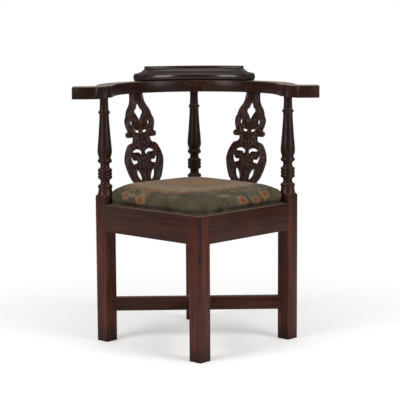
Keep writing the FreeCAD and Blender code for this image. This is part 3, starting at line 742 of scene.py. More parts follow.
# %% The carving
GOUGE_STROKES = [        # half width and depth of the cut, and marks of its curve, in millimetres
    (2.4, 3.6, [(4.6, 121), (4.4, 106), (4.8, 94), (6.4, 83)]),
    (2.8, 4.2, [(7.8, 75), (7.9, 74)]),
    (1.6, 2.0, [(7.8, 71), (11.0, 61), (9.6, 50), (8.0, 38), (7.6, 28)]),
    (1.6, 2.2, [(0, 150), (0.4, 136), (0, 124)]),
    (1.9, 2.6, [(10, 92), (12.5, 108), (19, 122), (30, 127.6), (40.4, 123), (41.5, 115.5), (35.5, 112),
                (28.6, 114.8), (29, 120.2), (33.6, 120.8)]),
    (2.6, 3.6, [(33.6, 116.9), (33.8, 116.7)]),
    (1.8, 2.2, [(56, 50), (66, 74), (71.2, 104), (66.5, 127), (56, 143), (44, 152), (30, 158)]),
    (1.6, 1.9, [(48, 46), (56, 66), (60, 86)]),
    (1.6, 1.9, [(30, 36), (44, 56), (47.5, 78)]),
    (1.8, 2.4, [(13, 40), (22, 62), (31, 84), (24, 94), (14, 96)]),
    (1.6, 2.0, [(18, 152), (22, 160), (24, 172), (23, 184)]),
    (1.6, 2.2, [(0, 168), (8, 171), (16, 169)]),
    (1.7, 2.2, [(34, 187), (46, 186), (54, 187.5)]),
    (1.7, 2.2, [(34, 193), (44, 194), (48, 203)]),
    (1.9, 2.6, [(0, 205.5), (15, 207.5), (25, 214), (28, 224), (24, 234), (14, 238.5), (7, 233)]),
    (1.7, 2.2, [(13, 243), (22, 249), (27, 259), (24, 270), (16, 280), (10, 291)]),
    (1.7, 2.1, [(45, 206), (50.5, 222), (48.5, 236), (42.5, 248), (35.5, 264), (24, 282), (18.5, 300),
                (18, 312)]),
]
DRILLED_EYE = (12.0, 161.0, 2.5)     # across, up and radius of the two eyes drilled through the neck
BOSS_UP, BOSS_HALF = 222, (21, 14)   # the smooth boss: its middle, and half its width and height
HEAD_PANEL = 290                     # above this the board is plain
DEEPEST = 4.2


def carving(flat, edge):
    """Depth of the carving: a quarter round on every edge, a veiner's line a few millimetres inside it,
    tool ripples, and the strokes, each as deep as its curve of Gauss says at that distance."""
    half, up = np.abs(flat[:, 0]), flat[:, 1]
    depth = 0.7 * np.clip(1 - edge / 1.8, 0, 1) ** 2 + 1.3 * np.exp(-((edge - 4.4) / 1.3) ** 2)
    smooth_boss = np.exp(-(((half / BOSS_HALF[0]) ** 2 + ((up - BOSS_UP) / BOSS_HALF[1]) ** 2) ** 2))
    head_panel = np.clip((up - HEAD_PANEL) / 8, 0, 1)
    ripple = 0.6 * np.sin(up * 0.72 + half * 0.25) * np.sin(half * 0.5 - up * 0.15)
    depth = depth + (0.6 + ripple) * np.clip(edge / 3, 0, 1) * (1 - smooth_boss) * (1 - head_panel)
    cuts = np.zeros(len(flat))
    for width, deep, marks in GOUGE_STROKES:
        curve = through(marks, 8 * len(marks))
        away = distance_to(np.column_stack([half, up]), curve[:-1], curve[1:])
        cuts = np.maximum(cuts, deep * np.exp(-(away / width) ** 2))
    return np.minimum(depth + cuts * np.clip(edge / 1.5, 0.3, 1), DEEPEST)


def circle(across, up, radius, count=18):
    """Points of a circle: its middle plus the radius times cosine and sine of the turn."""
    turn = np.linspace(0, 2 * math.pi, count, endpoint=False)
    return np.column_stack([across + radius * np.cos(turn), up + radius * np.sin(turn)])

# %% [markdown]
# The solid has a front of small triangles, a plain back, walls between them, and a hidden tenon at
# each end. The board leans but is cut off level at its shoe and under the arm, so the back's points
# near both ends slide up along the board by the same small amount.

# %% Building a splat
FRONT_SPACING = 1.5      # between points of the carved face, in millimetres, and of the plain back
BACK_SPACING = 5.0
BOX_FACES = [[0, 3, 2, 1], [4, 5, 6, 7], [0, 1, 5, 4], [1, 2, 6, 5], [2, 3, 7, 6], [3, 0, 4, 7]]


def tenon(node, place, low, high):
    """Corners of the hidden tongue whose CAD points lie between two heights."""
    points = np.array([place.inverted() @ vertex.co for vertex in nodes[node].data.vertices
                       if low + 0.5 * MM < vertex.co.z < high + 0.5 * MM])
    turn, start = np.array(place.to_3x3()), np.array(place.translation)
    corners = []
    for height in (low, high):
        for across, out in ((0, 0), (1, 0), (1, 1), (0, 1)):
            s = (points[:, 0].min(), points[:, 0].max())[across]
            w = (points[:, 2].min(), points[:, 2].max())[out]
            up = (height - start[2] - w * turn[2, 2]) / turn[2, 1]
            corners.append(turn @ [s, up, w] + start)
    return np.array(corners)


def splat(node, wood):
    """The carved plate and its two tenons, as closed shells of one mesh."""
    loops, place = flat_front(node)
    across, up, radius = DRILLED_EYE
    loops = grown([even_steps(part) for loop in loops for part in bridged(loop)], FULLER)
    loops += [circle(across, up, radius), circle(-across, up, radius)]
    starts, ends = straight_pieces(loops)
    low, high = starts[:, 1].min(), starts[:, 1].max()
    from_end = np.minimum(starts[:, 1] - low, high - starts[:, 1])
    at_end = np.maximum(np.abs(starts[:, 1] - ends[:, 1]), from_end) < 0.3
    sides = starts[~at_end], ends[~at_end]

    front, front_faces, links = filled(loops, FRONT_SPACING)
    front = np.column_stack([front, -carving(front, distance_to(front, *sides))])
    back, back_faces, links = filled(loops, BACK_SPACING)
    back_out = -SPLAT_THICK / MM + 0.2 * np.clip(1 - distance_to(back, *sides) / 1.5, 0, 1)
    slope = place.col[2].z / place.col[1].z
    near_end = np.clip(1 - np.minimum(back[:, 1] - low, high - back[:, 1]) / 8, 0, 1)
    back = np.column_stack([back[:, 0], back[:, 1] - slope * back_out * near_end, back_out])

    count = len(front)
    turn, start = np.array(place.to_3x3()), np.array(place.translation)
    points = np.vstack([front, back]) * MM @ turn.T + start
    walls = [[a, b, count + b, count + a] for a, b in links]
    faces = [*front_faces, *(back_faces[:, ::-1] + count), *walls]
    node_low, node_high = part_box(node)
    shoe_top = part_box("shoe_left")[1].z
    for bottom, top in ((node_low.z, shoe_top), (ARM_UNDER, node_high.z)):
        faces += [[number + len(points) for number in side] for side in BOX_FACES]
        points = np.vstack([points, tenon(node, place, bottom, top)])
    mesh = tidy(new_mesh(node + "_carved", points, faces))
    smooth(mesh, 50)
    return fit(node + "_carved", mesh, wood, CHAIR, "mahogany", node)


carved_wood = mahogany("polished_mahogany_carved", UPRIGHT, 0.71, -0.2, 0.3, 0.2, 0.62)
for node in ("splat_left", "splat_right"):
    print(node, len(splat(node, carved_wood).data.polygons), "faces")

# %% [markdown]
# ## The stuffed seat
# The seat is a frame of beech with webbing and sacking, curled horsehair piled on it, and the
# needlework pulled over and tacked underneath. Its corners are cut out round three of the legs. What
# the eye sees is a low dome with upright sides, tight but not quite even. So a slightly small closed
# body is made first, its surface is turned into even small faces, and the Cloth simulation blows it up
# like a balloon. Each point is allowed to move only so far, least where the cover is nailed down.

# %% The body before stuffing
seat_low, seat_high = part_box("seat_cover")
SEAT_HALF = 197.0 * MM
NOTCH = 170.5 * MM           # the corners beyond this are cut out round the legs
PAD_FOOT = seat_low.z
PAD_TOP = seat_high.z - 11.5 * MM
LEAN = 0.013                 # the horsehair has settled towards the right
PINCH = 6.5 * MM             # the cover is drawn in where it leaves the wooden frame
SIDE_TOP = PAD_FOOT + 47 * MM
CROWN_RUN = 166 * MM         # how far the edge draws in on its way up to the middle
SIDE_HEIGHTS = np.array([0, 10, 22, 25, 29, 34, 39]) * MM            # marks up the side, and the
SIDE_PINCH = PINCH * np.array([0, 0, 0.05, 0.8, 1.0, 0.55, 0.1])     # pinch at each of them
CORNER_ROUND = 22 * MM       # rounding of the corners, and more towards the top
EVEN_FACE = 4.5 * MM


def seat_body(around=288, rise=26):
    """For each angle, the distance to the edge of a square whose corners are rounded as a power curve
    that is rounder towards the top, and no further than the notches. The side rises upright, then the
    edge draws in as one minus cosine to the power 1.5, while the height grows as the sine."""
    angle = np.linspace(0, 2 * math.pi, around, endpoint=False)
    a, b = np.abs(np.cos(angle)), np.abs(np.sin(angle))
    front = (np.cos(angle) < 0) & (np.sin(angle) < 0)
    notch = np.where(front, 1.0, NOTCH / np.maximum(np.minimum(a, b), 1e-3))
    turn = np.linspace(0, math.pi / 2, rise)
    inset = np.concatenate([SIDE_PINCH, CROWN_RUN * (1 - np.cos(turn)) ** 1.5])
    height = np.concatenate([PAD_FOOT + SIDE_HEIGHTS, SIDE_TOP + (PAD_TOP - SIDE_TOP) * np.sin(turn)])
    half = SEAT_HALF - inset
    radius = np.minimum(CORNER_ROUND + inset / 2, 0.9 * half)
    power = 1 / (0.5 - np.log2(math.sqrt(2) - 0.4142 * radius / half))
    reach = half[:, None] / (a**power[:, None] + b**power[:, None]) ** (1 / power[:, None])
    reach = np.minimum(reach, notch)
    x = reach * (np.cos(angle) - np.sin(angle)) / math.sqrt(2)
    y = reach * (np.cos(angle) + np.sin(angle)) / math.sqrt(2)
    sag = LEAN * x * np.clip((height[:, None] - SIDE_TOP) / (30 * MM), 0, 1)
    points = np.stack([x, y, height[:, None] - sag], axis=-1)
    return tidy(new_mesh("seat_pad", points, tube_faces(len(height), around)))


def applied(piece):
    """The piece's mesh with its modifiers worked in."""
    seen = piece.evaluated_get(bpy.context.evaluated_depsgraph_get())
    return bpy.data.meshes.new_from_object(seen)


def swapped(piece, mesh):
    """Gives the piece a finished mesh and clears its modifiers."""
    piece.modifiers.clear()
    piece.data = mesh


def values(items, name, width=1, kind=float):
    """One property of every item, such as a vertex or a loop, as an array."""
    found = np.empty(len(items) * width, kind)
    items.foreach_get(name, found)
    return found


def places(mesh):
    """The mesh's points as an array."""
    return values(mesh.vertices, "co", 3).reshape(-1, 3)


pad = in_scene("seat_pad", seat_body())
even = pad.modifiers.new("even_faces", "REMESH")
even.mode = "VOXEL"
even.voxel_size = EVEN_FACE
swapped(pad, applied(pad))
print("seat pad", len(pad.data.vertices), "points before stuffing")

# %% [markdown]
# Horsehair pushes evenly outwards, as air does, so pressure inside a closed cloth gives the right
# swelling. Left alone it would make a ball. The real cover is held by its nails and drawn in round
# the legs, and each point's allowance does the same here.

# %% Stuffing it by simulation
NAILED_UNDER = 428 * MM      # height under which the cover is nailed to the wood
FREE_RISE = 46 * MM          # and over this rise it gets as free as it will be
LEG_HOLD = 45 * MM           # how far from a leg its hold is felt
PRESSURE = 4.0
FRAMES = 20


def square_place(points):
    """The two directions along the seat's own sides: a towards the back right, b towards the back left."""
    return (points[:, 0] + points[:, 1]) / math.sqrt(2), (points[:, 1] - points[:, 0]) / math.sqrt(2)


def allowance(points):
    """How far each point may move: a millimetre where the cover is nailed, 7 mm at the crown, and
    about half of that at a leg."""
    a, b = square_place(points)
    free = np.clip((points[:, 2] - NAILED_UNDER) / FREE_RISE, 0, 1)
    corner = np.minimum(np.abs(a), np.abs(b))
    near_leg = np.where((a < 0) & (b < 0), 1.0, np.clip((NOTCH - corner) / LEG_HOLD, 0, 1))
    return (1.0 + 6.0 * free * (0.5 + 0.5 * near_leg)) * MM


def stuffed(piece):
    """Blows the piece up with the Cloth simulation and moves each point by no more than its allowance."""
    start = places(piece.data)
    held = piece.vertex_groups.new(name="nailed_down")
    held.add(np.flatnonzero(start[:, 2] < NAILED_UNDER).tolist(), 1.0, "REPLACE")
    cloth = piece.modifiers.new("stuffing", "CLOTH")
    cloth.settings.use_pressure = True
    cloth.settings.uniform_pressure_force = PRESSURE
    cloth.settings.effector_weights.gravity = 0
    cloth.settings.vertex_group_mass = "nailed_down"
    for step in range(1, FRAMES + 1):
        bpy.context.scene.frame_set(step)
    shift = places(applied(piece)) - start
    bpy.context.scene.frame_set(1)
    length = np.linalg.norm(shift, axis=1)
    return start + shift * np.minimum(1, allowance(start) / np.maximum(length, 1e-9))[:, None]


swollen = stuffed(pad)
print("seat crown at", round(float(swollen[:, 2].max()), 4))

# %% [markdown]
# The swollen body is a whole balloon. The real cover is nailed round the underside in a narrow strip
# and open inside that, so the faces there are taken away, and a Solidify modifier gives the cover the
# thickness of wool and canvas. One subdivision comes before it, so the painting has enough points.

# %% Cover from the swollen body
FOLD_IN = 164 * MM


def cover_mesh(mesh, points):
    """The body without the faces of its underside that lie inside the nailed strip."""
    faces = values(mesh.loops, "vertex_index", kind=int).reshape(-1, 4)
    middle = points[faces].mean(axis=1)
    a, b = square_place(middle)
    under = (middle[:, 2] < PAD_FOOT + 3 * MM) & (np.maximum(np.abs(a), np.abs(b)) < FOLD_IN)
    made = new_mesh("seat_cover", points, faces[~under])
    work = bmesh.new()
    work.from_mesh(made)
    loose = [vertex for vertex in work.verts if not vertex.link_faces]
    bmesh.ops.delete(work, geom=loose, context="VERTS")
    work.to_mesh(made)
    work.free()
    return made


swapped(pad, cover_mesh(pad.data, swollen))
once = pad.modifiers.new("once", "SUBSURF")
once.levels = once.render_levels = 1
swapped(pad, applied(pad))
pad.vertex_groups.clear()
pad.data.name = "seat_cover_stuffed"
pad.name = "seat_cover_stuffed"
print("cover", len(pad.data.polygons), "faces")

# %% [markdown]
# ## Needlework
# The cover was stitched in wool on a flat piece of canvas before it was pulled over the stuffing, so
# its pattern belongs to the flat cloth. Each point gets its place on that cloth: its plan, plus how
# far the cloth has dropped over the side, pushed outwards. The traditional pattern is a scrolled
# frame round a gold middle, with sprays of flowers and leaves outside it on an olive ground. It is
# painted stitch by stitch with formulas, as a colour attribute, because it must follow the cloth.

# %% Places on the flat cloth
CROWN_EDGE = 480 * MM        # height from which the cloth drops over the side


def flat_cloth(points):
    """Plan along the seat's sides in millimetres, moved outwards by the drop below the crown's edge."""
    a, b = square_place(points)
    drop = 0.9 * np.maximum(0, CROWN_EDGE - points[:, 2])
    out = np.stack([np.sign(a) * np.abs(a) ** 7, np.sign(b) * np.abs(b) ** 7])
    out = out / np.maximum(np.linalg.norm(out, axis=0), 1e-30)
    return (a + drop * out[0]) / MM, (b + drop * out[1]) / MM


def srgb(hex_value):
    """Red, green and blue of a hex colour from 0 to 1, as the picture shows them."""
    return np.array([int(hex_value[i:i + 2], 16) / 255 for i in (1, 3, 5)])


def stitched(picture, mask, hex_value):
    """The picture with a colour worked over it where the mask is high."""
    mask = np.clip(mask, 0, 1)[:, None]
    return picture * (1 - mask) + srgb(hex_value) * mask


def soft_step(value, low, high):
    """Rises smoothly from 0 at low to 1 at high, as 3x squared minus 2x cubed."""
    x = np.clip((value - low) / (high - low), 0, 1)
    return x * x * (3 - 2 * x)

# %% [markdown]
# Such patterns repeat a few motifs: round flowers in rings of three wools, pointed leaves with a dark
# vein, and strings of small leaves. Each motif is one function, drawn at a place on the flat cloth.

# %% Flowers and leaves

def turned_place(a, b, place, turn):
    """Places measured from a motif's middle, along its own two directions."""
    u, v = a - place[0], b - place[1]
    c, s = math.cos(turn), math.sin(turn)
    return u * c + v * s, v * c - u * s


def flower(picture, a, b, place, size, petals, colours, squash=1.0, turn=0.0):
    """Petals whose rim swings as a cosine of the angle, an inner ring and a heart."""
    u, v = turned_place(a, b, place, turn)
    v = v / squash
    reach = np.hypot(u, v) / (size * (0.91 + 0.09 * np.cos(petals * np.arctan2(v, u))))
    for rim, hex_value in zip((1.0, 0.72, 0.36), colours):
        picture = stitched(picture, 1 - soft_step(reach, rim - 0.12, rim + 0.06), hex_value)
    return picture


def leaf(picture, a, b, place, length, width, turn, hex_value, vein):
    """A pointed oval: its half width shrinks with the square of the distance along it. A vein runs down
    it."""
    u, v = turned_place(a, b, place, turn)
    reach = np.abs(v) / np.maximum(width * (1 - np.clip(u / length, -1, 1) ** 2), 0.01)
    inner = (np.abs(u) < length) * (1 - soft_step(reach, 0.75, 1.05))
    picture = stitched(picture, inner, hex_value)
    return stitched(picture, inner * (1 - soft_step(np.abs(v), 0.6, 1.6)), vein)


def foliage(picture, a, b, start, end, spread, count, seed):
    """Small leaves of mixed greens, creams and pinks, scattered beside a line, each with its own turn."""
    dice = np.random.default_rng(seed)
    wools = ("#857b5c", "#938463", "#9a7f64", "#7b7560", "#8f8a74", "#6c6c55", "#a08a68")
    for step in range(count):
        share = (step + dice.uniform(0, 1)) / count
        place = [start[i] + (end[i] - start[i]) * share + dice.uniform(-spread, spread) for i in (0, 1)]
        length, width = dice.uniform(8, 15), dice.uniform(2.6, 4.6)
        turn = dice.uniform(0, math.pi)
        wool = wools[dice.integers(len(wools))]
        picture = leaf(picture, a, b, place, length, width, turn, wool, "#5c5843")
    return picture

# %% [markdown]
# The sprays are drawn once for each front side. The back sides were worked from the same pattern
# turned about the middle, so they are the same sprays at the mirrored place.

# %% The whole pattern
GROUND = "#544f3c"
FRAME_MIDDLE, FRAME_HALF = (-8, 12), (170, 165)      # the scrolled frame, in millimetres
FRAME_BANDS = [          # a band's edge softens between two shares of the frame's size, then its wool
    (0.98, 1.03, "#8d6a50"), (0.9, 0.94, "#9c8f71"), (0.76, 0.82, "#928169"), (0.58, 0.64, "#87705a")]
LEFT_SPRAY = [
    (foliage, (-180, 135), (-186, 20), 9, 20, 3),
    (foliage, (-205, 70), (-214, 14), 8, 8, 4),
    (leaf, (-238, 24), 19, 5, 0.1, "#807858", "#5f5a44"),
    (flower, (-213, 110), 20, 5, ("#8f7a5c", "#9c6648", "#6f4430")),
    (flower, (-212, 82), 11, 3, ("#7c7e74", "#8b8469", "#666c68"), 1.4),
    (flower, (-224, 46), 24, 6, ("#948058", "#a56c48", "#7d4a32"), 1.0, 0.4),
]
RIGHT_SPRAY = [
    (foliage, (-188, -92), (-196, -50), 6, 7, 5),
    (foliage, (-170, -24), (-188, 120), 10, 26, 6),
    (leaf, (-194, -72), 30, 7, 1.8, "#8d8672", "#6a685a"),
    (leaf, (-212, 30), 17, 11, 0.2, "#5f6a66", "#46504c"),
    (flower, (-223, -8), 28, 5, ("#927658", "#a56544", "#6a402a"), 0.62, -0.9),
    (flower, (-227, 50), 15, 3, ("#8d7854", "#946444", "#7d5438"), 1.5, 0.2),
    (flower, (-213, 94), 21, 7, ("#907852", "#9c6a44", "#684630"), 1.1, 0.7),
]
DULLED = np.array([0.82, 0.765, 0.72])               # how light and dirt have dulled the wools


def medallion(picture, a, b):
    """The gold middle: an ellipse across the seat, in eight petals that show where a sine is positive."""
    along, across = (a + b + 18) / 62, (a - b + 10) / 100
    middle = along ** 2 + across ** 2
    picture = stitched(picture, 1 - soft_step(middle, 0.9, 1.3), "#a47d3e")
    petal = np.sin(8 * np.arctan2(across, along)) > 0
    return stitched(picture, (1 - soft_step(middle, 0.5, 0.8)) * petal, "#7d5d2c")


def needlework(a, b, seed=7):
    """sRGB colours of the wool at places a and b of the flat cloth, in millimetres."""
    wave = np.sin(a / 23) * np.sin(b / 31 + 1) + 0.5 * np.sin((a + b) / 13 + 2) * np.sin((a - b) / 17)
    picture = np.tile(srgb(GROUND), (len(a), 1))
    picture = stitched(picture, 0.35 + 0.35 * wave, "#5d5743")
    picture = stitched(picture, 0.25 * np.sin(a / 41 + 1.3) * np.sin(b / 37), "#4d5450")

    u, v = a - FRAME_MIDDLE[0], b - FRAME_MIDDLE[1]
    angle = np.arctan2(v, u)
    frame_line = (np.abs(u / FRAME_HALF[0]) ** 4 + np.abs(v / FRAME_HALF[1]) ** 4) ** 0.25
    frame_line = frame_line + 0.018 * np.sin(18 * angle)
    for low, high, wool in FRAME_BANDS:
        picture = stitched(picture, 1 - soft_step(frame_line, low, high), wool)
    curl = np.sin(angle * 26 + frame_line * 30) * np.exp(-((frame_line - 0.88) / 0.06) ** 2)
    picture = medallion(stitched(picture, 0.55 * curl, "#6f6e54"), a, b)

    for u, v in ((a, b), (-b, -a)):
        for first, second, spray in ((u, v, LEFT_SPRAY), (v, u, RIGHT_SPRAY)):
            for motif, *how in spray:
                picture = motif(picture, first, second, *how)

    shade = np.random.default_rng(seed).normal(1, 0.075, (512, 512))
    cell = np.floor(np.stack([a, b]) / 2.4).astype(int) % 512
    return np.clip(DULLED * picture * shade[cell[0], cell[1]][:, None], 0, 1)


def painted(mesh, points):
    """Writes the wool's colour and the flat cloth's places into the mesh. The wool is darker low on
    the cover by the rails: painted shade of the gap there, and dirt where it rubs."""
    a, b = flat_cloth(points)
    # darker low on the cover by the rails: painted shade of the gap there, and dirt
    shaded_and_soiled = 1 - 0.7 * (1 - soft_step(points[:, 2], 424 * MM, 437 * MM))
    picture = needlework(a, b) * shaded_and_soiled[:, None]
    linear = np.where(picture > 0.04045, ((picture + 0.055) / 1.055) ** 2.4, picture / 12.92)
    layer = mesh.color_attributes.new("wool", "FLOAT_COLOR", "POINT")
    layer.data.foreach_set("color", np.column_stack([linear, np.ones(len(linear))]).ravel())
    corners = values(mesh.loops, "vertex_index", kind=int)
    cloth = mesh.uv_layers.new(name="cloth")
    cloth.data.foreach_set("uv", np.column_stack([a, b])[corners].ravel() * MM)


painted(pad.data, places(pad.data))
print("painted", len(pad.data.vertices), "points of wool")

# %% [markdown]
# Tent stitch covers every crossing of the canvas with a short slanting loop of matt wool. Real ones
# are about a millimetre apart, and the render can't show that, so they are drawn two millimetres apart.

# %% Wool and its stitches
STITCH = 2.0 * MM


def wool_needlework():
    """Wool in tent stitch: matt, a little fuzzy at the edges of the form, with slanting ridges."""
    material, tree, shader = new_finish("wool_needlework")
    wool = add_node(tree, "ShaderNodeAttribute", (), "Color", attribute_name="wool")
    cloth = add_node(tree, "ShaderNodeUVMap", uv_map="cloth")
    links = {"Vector": cloth, "Rotation": (0, 0, math.radians(45)), "Scale": (1 / STITCH, 0.55 / STITCH, 1)}
    links = {"Vector": add_node(tree, MAPPING, links), "Scale": 1.0, "Randomness": 0.35}
    stitch = add_node(tree, "ShaderNodeTexVoronoi", links, "Distance", voronoi_dimensions="2D")
    links = {"Vector": add_node(tree, PLACES, output="Object"), "Scale": 22, "Detail": 4}
    faded = add_node(tree, "ShaderNodeTexNoise", links, "Fac")
    shaded = laid_over(tree, wool, "#2a271e", stitch, 0.35, 0.75, 0.0, 0.4)
    dusty = laid_over(tree, shaded, "#7a7058", faded, 0.45, 0.75, 0.0, 0.3)
    raised = add_node(tree, BUMP, {"Height": stitch, "Strength": 0.6, "Distance": 0.5 * MM}, invert=True)
    connect(tree, shader, {"Base Color": dusty, "Normal": raised, "Roughness": 0.92,
                           "Specular IOR Level": 0.2, "Sheen Weight": 0.05, "Sheen Roughness": 0.5})
    return material


def thickened(piece, thickness, offset):
    """Gives a sheet its thickness: offset -1 puts it all inside, 0 half on each side."""
    skin = piece.modifiers.new("cloth_thickness", "SOLIDIFY")
    skin.thickness = thickness
    skin.offset = offset


pad.data.materials.clear()
pad.data.materials.append(wool_needlework())
smooth(pad.data, 60)
thickened(pad, 1.1 * MM, -1)
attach(pad, SEAT)
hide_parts("seat_cover", "seat_stuffing")
print("cover fitted as", pad.name)

# %% [markdown]
# ## Underneath: the wooden frame of the seat
# Lifted out and turned over, the seat shows how it was made. Its frame is beech, cheap, tough and
# never polished: pale brown, gone grey and grubby, with the short dark flecks that beech has across
# its grain. The CAD members have the right shape, so they are eased as the rails were, but less.

# %% Beech members
FLECK, FLECK_RUN = 0.7 * MM, 3.5 * MM
GROWTH, GROWTH_RUN = 7 * MM, 300 * MM       # bands of growth along the board
SAW_MARK, SAW_PITCH = 60 * MM, 2.5 * MM     # marks across it, this far apart
GRUBBY, GRUBBY_RUN = 25 * MM, 50 * MM


def beech(name, along):
    """Old sawn beech, matt and dusty, with short flecks, saw marks across it and dirt and painted shade in
    the corners.
    """
    material, tree, shader = new_finish(name)
    board = along_grain(tree, along)
    growth = add_node(tree, RANGE, (noise_along(tree, board, GROWTH_RUN, GROWTH), 0.3, 0.7))
    fleck = noise_along(tree, board, FLECK_RUN, FLECK, 1.0)
    sawn = noise_along(tree, board, SAW_PITCH, SAW_MARK, 1.0)
    grubby = noise_along(tree, board, GRUBBY_RUN, GRUBBY, 4.0)
    # ambient occlusion darkens the corners: painted shade, along with the dirt
    corner = add_node(tree, "ShaderNodeAmbientOcclusion", {"Distance": 10 * MM}, "AO", samples=6)
    look = colour("#7f6044")
    for layer in (("#9c7a58", growth),
                  ("#59402c", fleck, 0.58, 0.66, 0.0, 0.6),
                  ("#54463a", grubby, 0.35, 0.7, 0.1, 0.65),
                  ("#2a2019", corner, 0.3, 0.8, 0.6, 0.0)):
        look = laid_over(tree, look, *layer)
    marked = add_node(tree, BUMP, {"Height": sawn, "Strength": 0.4, "Distance": 0.25 * MM})
    connect(tree, shader, {"Base Color": look, "Normal": marked, "Roughness": 0.72,
                           "Specular IOR Level": 0.3})
    return material


for side, along in (("front_left", FALLING), ("back_right", FALLING),
                    ("front_right", RISING), ("back_left", RISING)):
    wood = beech("sawn_beech_" + side, along)
    eased("seat_frame_" + side, wood, 0.5 * MM, 2, SEAT, "beech")

# %% [markdown]
# ## Webbing and sacking
# Six strips of jute webbing are stretched across the frame, three each way, each going over and under
# the ones it crosses. Sacking lies on them and keeps the horsehair in. Each strip is a ribbon whose
# height is a formula, so no simulation is needed.

# %% Strips woven through each other
web_low, web_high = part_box("seat_webbing")
WEB_WIDTH = 50 * MM
WEB_PITCH = 78 * MM
WEB_THICK = 1.1 * MM
WEB_REACH = 188.5 * MM
ROWS, SIDE_POINTS = 90, 9        # points along a strip, and across one of its faces


def from_square(a, b):
    """The plan place of a point given along the seat's own two sides."""
    return (a - b) / math.sqrt(2), (a + b) / math.sqrt(2)


def strip(number, first):
    """A ribbon. It is lifted by one thickness where it passes over another, and each lift falls away as
    a smooth step of the distance from that crossing. Columns go across its upper face and back below."""
    crossings = np.arange(-1, 2)
    along = np.linspace(-WEB_REACH, WEB_REACH, ROWS)[:, None]
    lifted = 1 - soft_step(np.abs(along - crossings * WEB_PITCH), 26 * MM, 38 * MM)
    over = (crossings + number + first) % 2
    lift = (web_high.z - web_low.z) / 2 * (lifted * over).sum(axis=1, keepdims=True)
    half = np.linspace(-1, 1, SIDE_POINTS) * WEB_WIDTH / 2
    across = number * WEB_PITCH + np.concatenate([half, half[::-1]])[None, :] + 0 * along
    height = web_low.z + 0.05 * MM + lift + np.repeat([WEB_THICK, 0.0], SIDE_POINTS)[None, :]
    along = along + 0 * across
    x, y = from_square(across, along) if first else from_square(along, across)
    return np.stack([x, y, height], axis=-1).reshape(-1, 3)


strips = [strip(number, first) for first in (0, 1) for number in (-1, 0, 1)]
faces = [[corner + piece * len(strips[0]) for corner in face]
         for piece in range(len(strips)) for face in tube_faces(ROWS, 2 * SIDE_POINTS)]
web_mesh = tidy(new_mesh("webbing", np.vstack(strips), faces))
second_way = np.repeat([0, 1], len(web_mesh.polygons) // 2)
print("webbing", len(web_mesh.polygons), "faces in six strips")

# %% [markdown]
# Webbing and sacking are both plain weave in thick brown jute thread, matt and uneven. The webbing
# has a dark stripe near each selvedge, as upholsterer's webbing often has, so the eye can follow each
# strip over and under. Threads are counted from a real thread's thickness.

# %% Jute weave
THREAD = 1.7 * MM
STRIPE = np.array([14, 14.6, 17.4, 18]) * MM     # from a strip's middle: it begins, is full, and ends


def plain_weave(name, turn, pale, dark, striped):
    """Plain weave in jute. A Voronoi texture without much randomness puts a rounded knot at each
    crossing of the threads, and noise drawn out both ways makes some threads thicker or darker."""
    material, tree, shader = new_finish(name)
    place = add_node(tree, PLACES, output="Object")
    scale = (1 / THREAD, 1 / THREAD, 0)
    links = {"Vector": place, "Rotation": (0, 0, math.radians(turn)), "Scale": scale}
    counted = add_node(tree, MAPPING, links)
    links = {"Vector": counted, "Scale": 1.0, "Randomness": 0.2}
    knot = add_node(tree, "ShaderNodeTexVoronoi", links, "Distance", voronoi_dimensions="2D")
    crossed = add_node(tree, MAPPING, {"Vector": counted, "Rotation": (0, 0, math.radians(90))})
    warp, weft = (noise_along(tree, way, 40, 1.0, 1.0) for way in (counted, crossed))
    uneven = add_node(tree, RANGE, (add_node(tree, MATH, (warp, weft)), 0.8, 1.2))
    look = laid_over(tree, colour(dark), pale, uneven)
    if striped:
        half = WEB_PITCH / THREAD / 2
        across = add_node(tree, PARTS, (counted,), "Y")
        across = add_node(tree, MATH, (across, half, -half), operation="WRAP")
        across = add_node(tree, MATH, (across,), operation="ABSOLUTE")
        begins, full, ending, gone = (STRIPE / THREAD).tolist()
        begun = add_node(tree, RANGE, (across, begins, full, 0.0, 0.8))
        ended = add_node(tree, RANGE, (across, ending, gone, 1.0, 0.0))
        look = laid_over(tree, look, "#3a2418", add_node(tree, MATH, (begun, ended), operation="MULTIPLY"))
    # darker between the knots: painted shade between the threads
    look = laid_over(tree, look, "#261c12", knot, 0.42, 0.7, 0.0, 0.75)
    raised = add_node(tree, BUMP, {"Height": knot, "Strength": 0.7, "Distance": 0.4 * MM}, invert=True)
    connect(tree, shader, {"Base Color": look, "Normal": raised, "Roughness": 0.9,
                           "Specular IOR Level": 0.2})
    return material


one_way = plain_weave("jute_webbing_one_way", -45, "#86714f", "#665236", True)
other_way = plain_weave("jute_webbing_other_way", -135, "#86714f", "#665236", True)
webbing = fit("seat_webbing_woven", web_mesh, one_way, SEAT, "webbing", "seat_webbing")
web_mesh.materials.append(other_way)
web_mesh.polygons.foreach_set("material_index", second_way)
smooth(web_mesh, 50)

# %% [markdown]
# The sacking is one square of cloth, tacked round its edge and cut out round three legs. Between the
# strips nothing holds it up, so the horsehair presses it down a little there. It is a level grid with
# that small sag worked in, and a Solidify modifier gives it the thickness of the cloth.

# %% Sacking
SACK_HALF = 196.3 * MM
LAST_ROW = 184 * MM              # one more row of points between the notches and the edge
SACK_TOP = 0.4 * MM              # the middle of the cloth lies this far under its upper face
SAG = 1.0 * MM
MEMBERS_START = (136 * MM, 150 * MM)     # over this run the members begin to hold it up


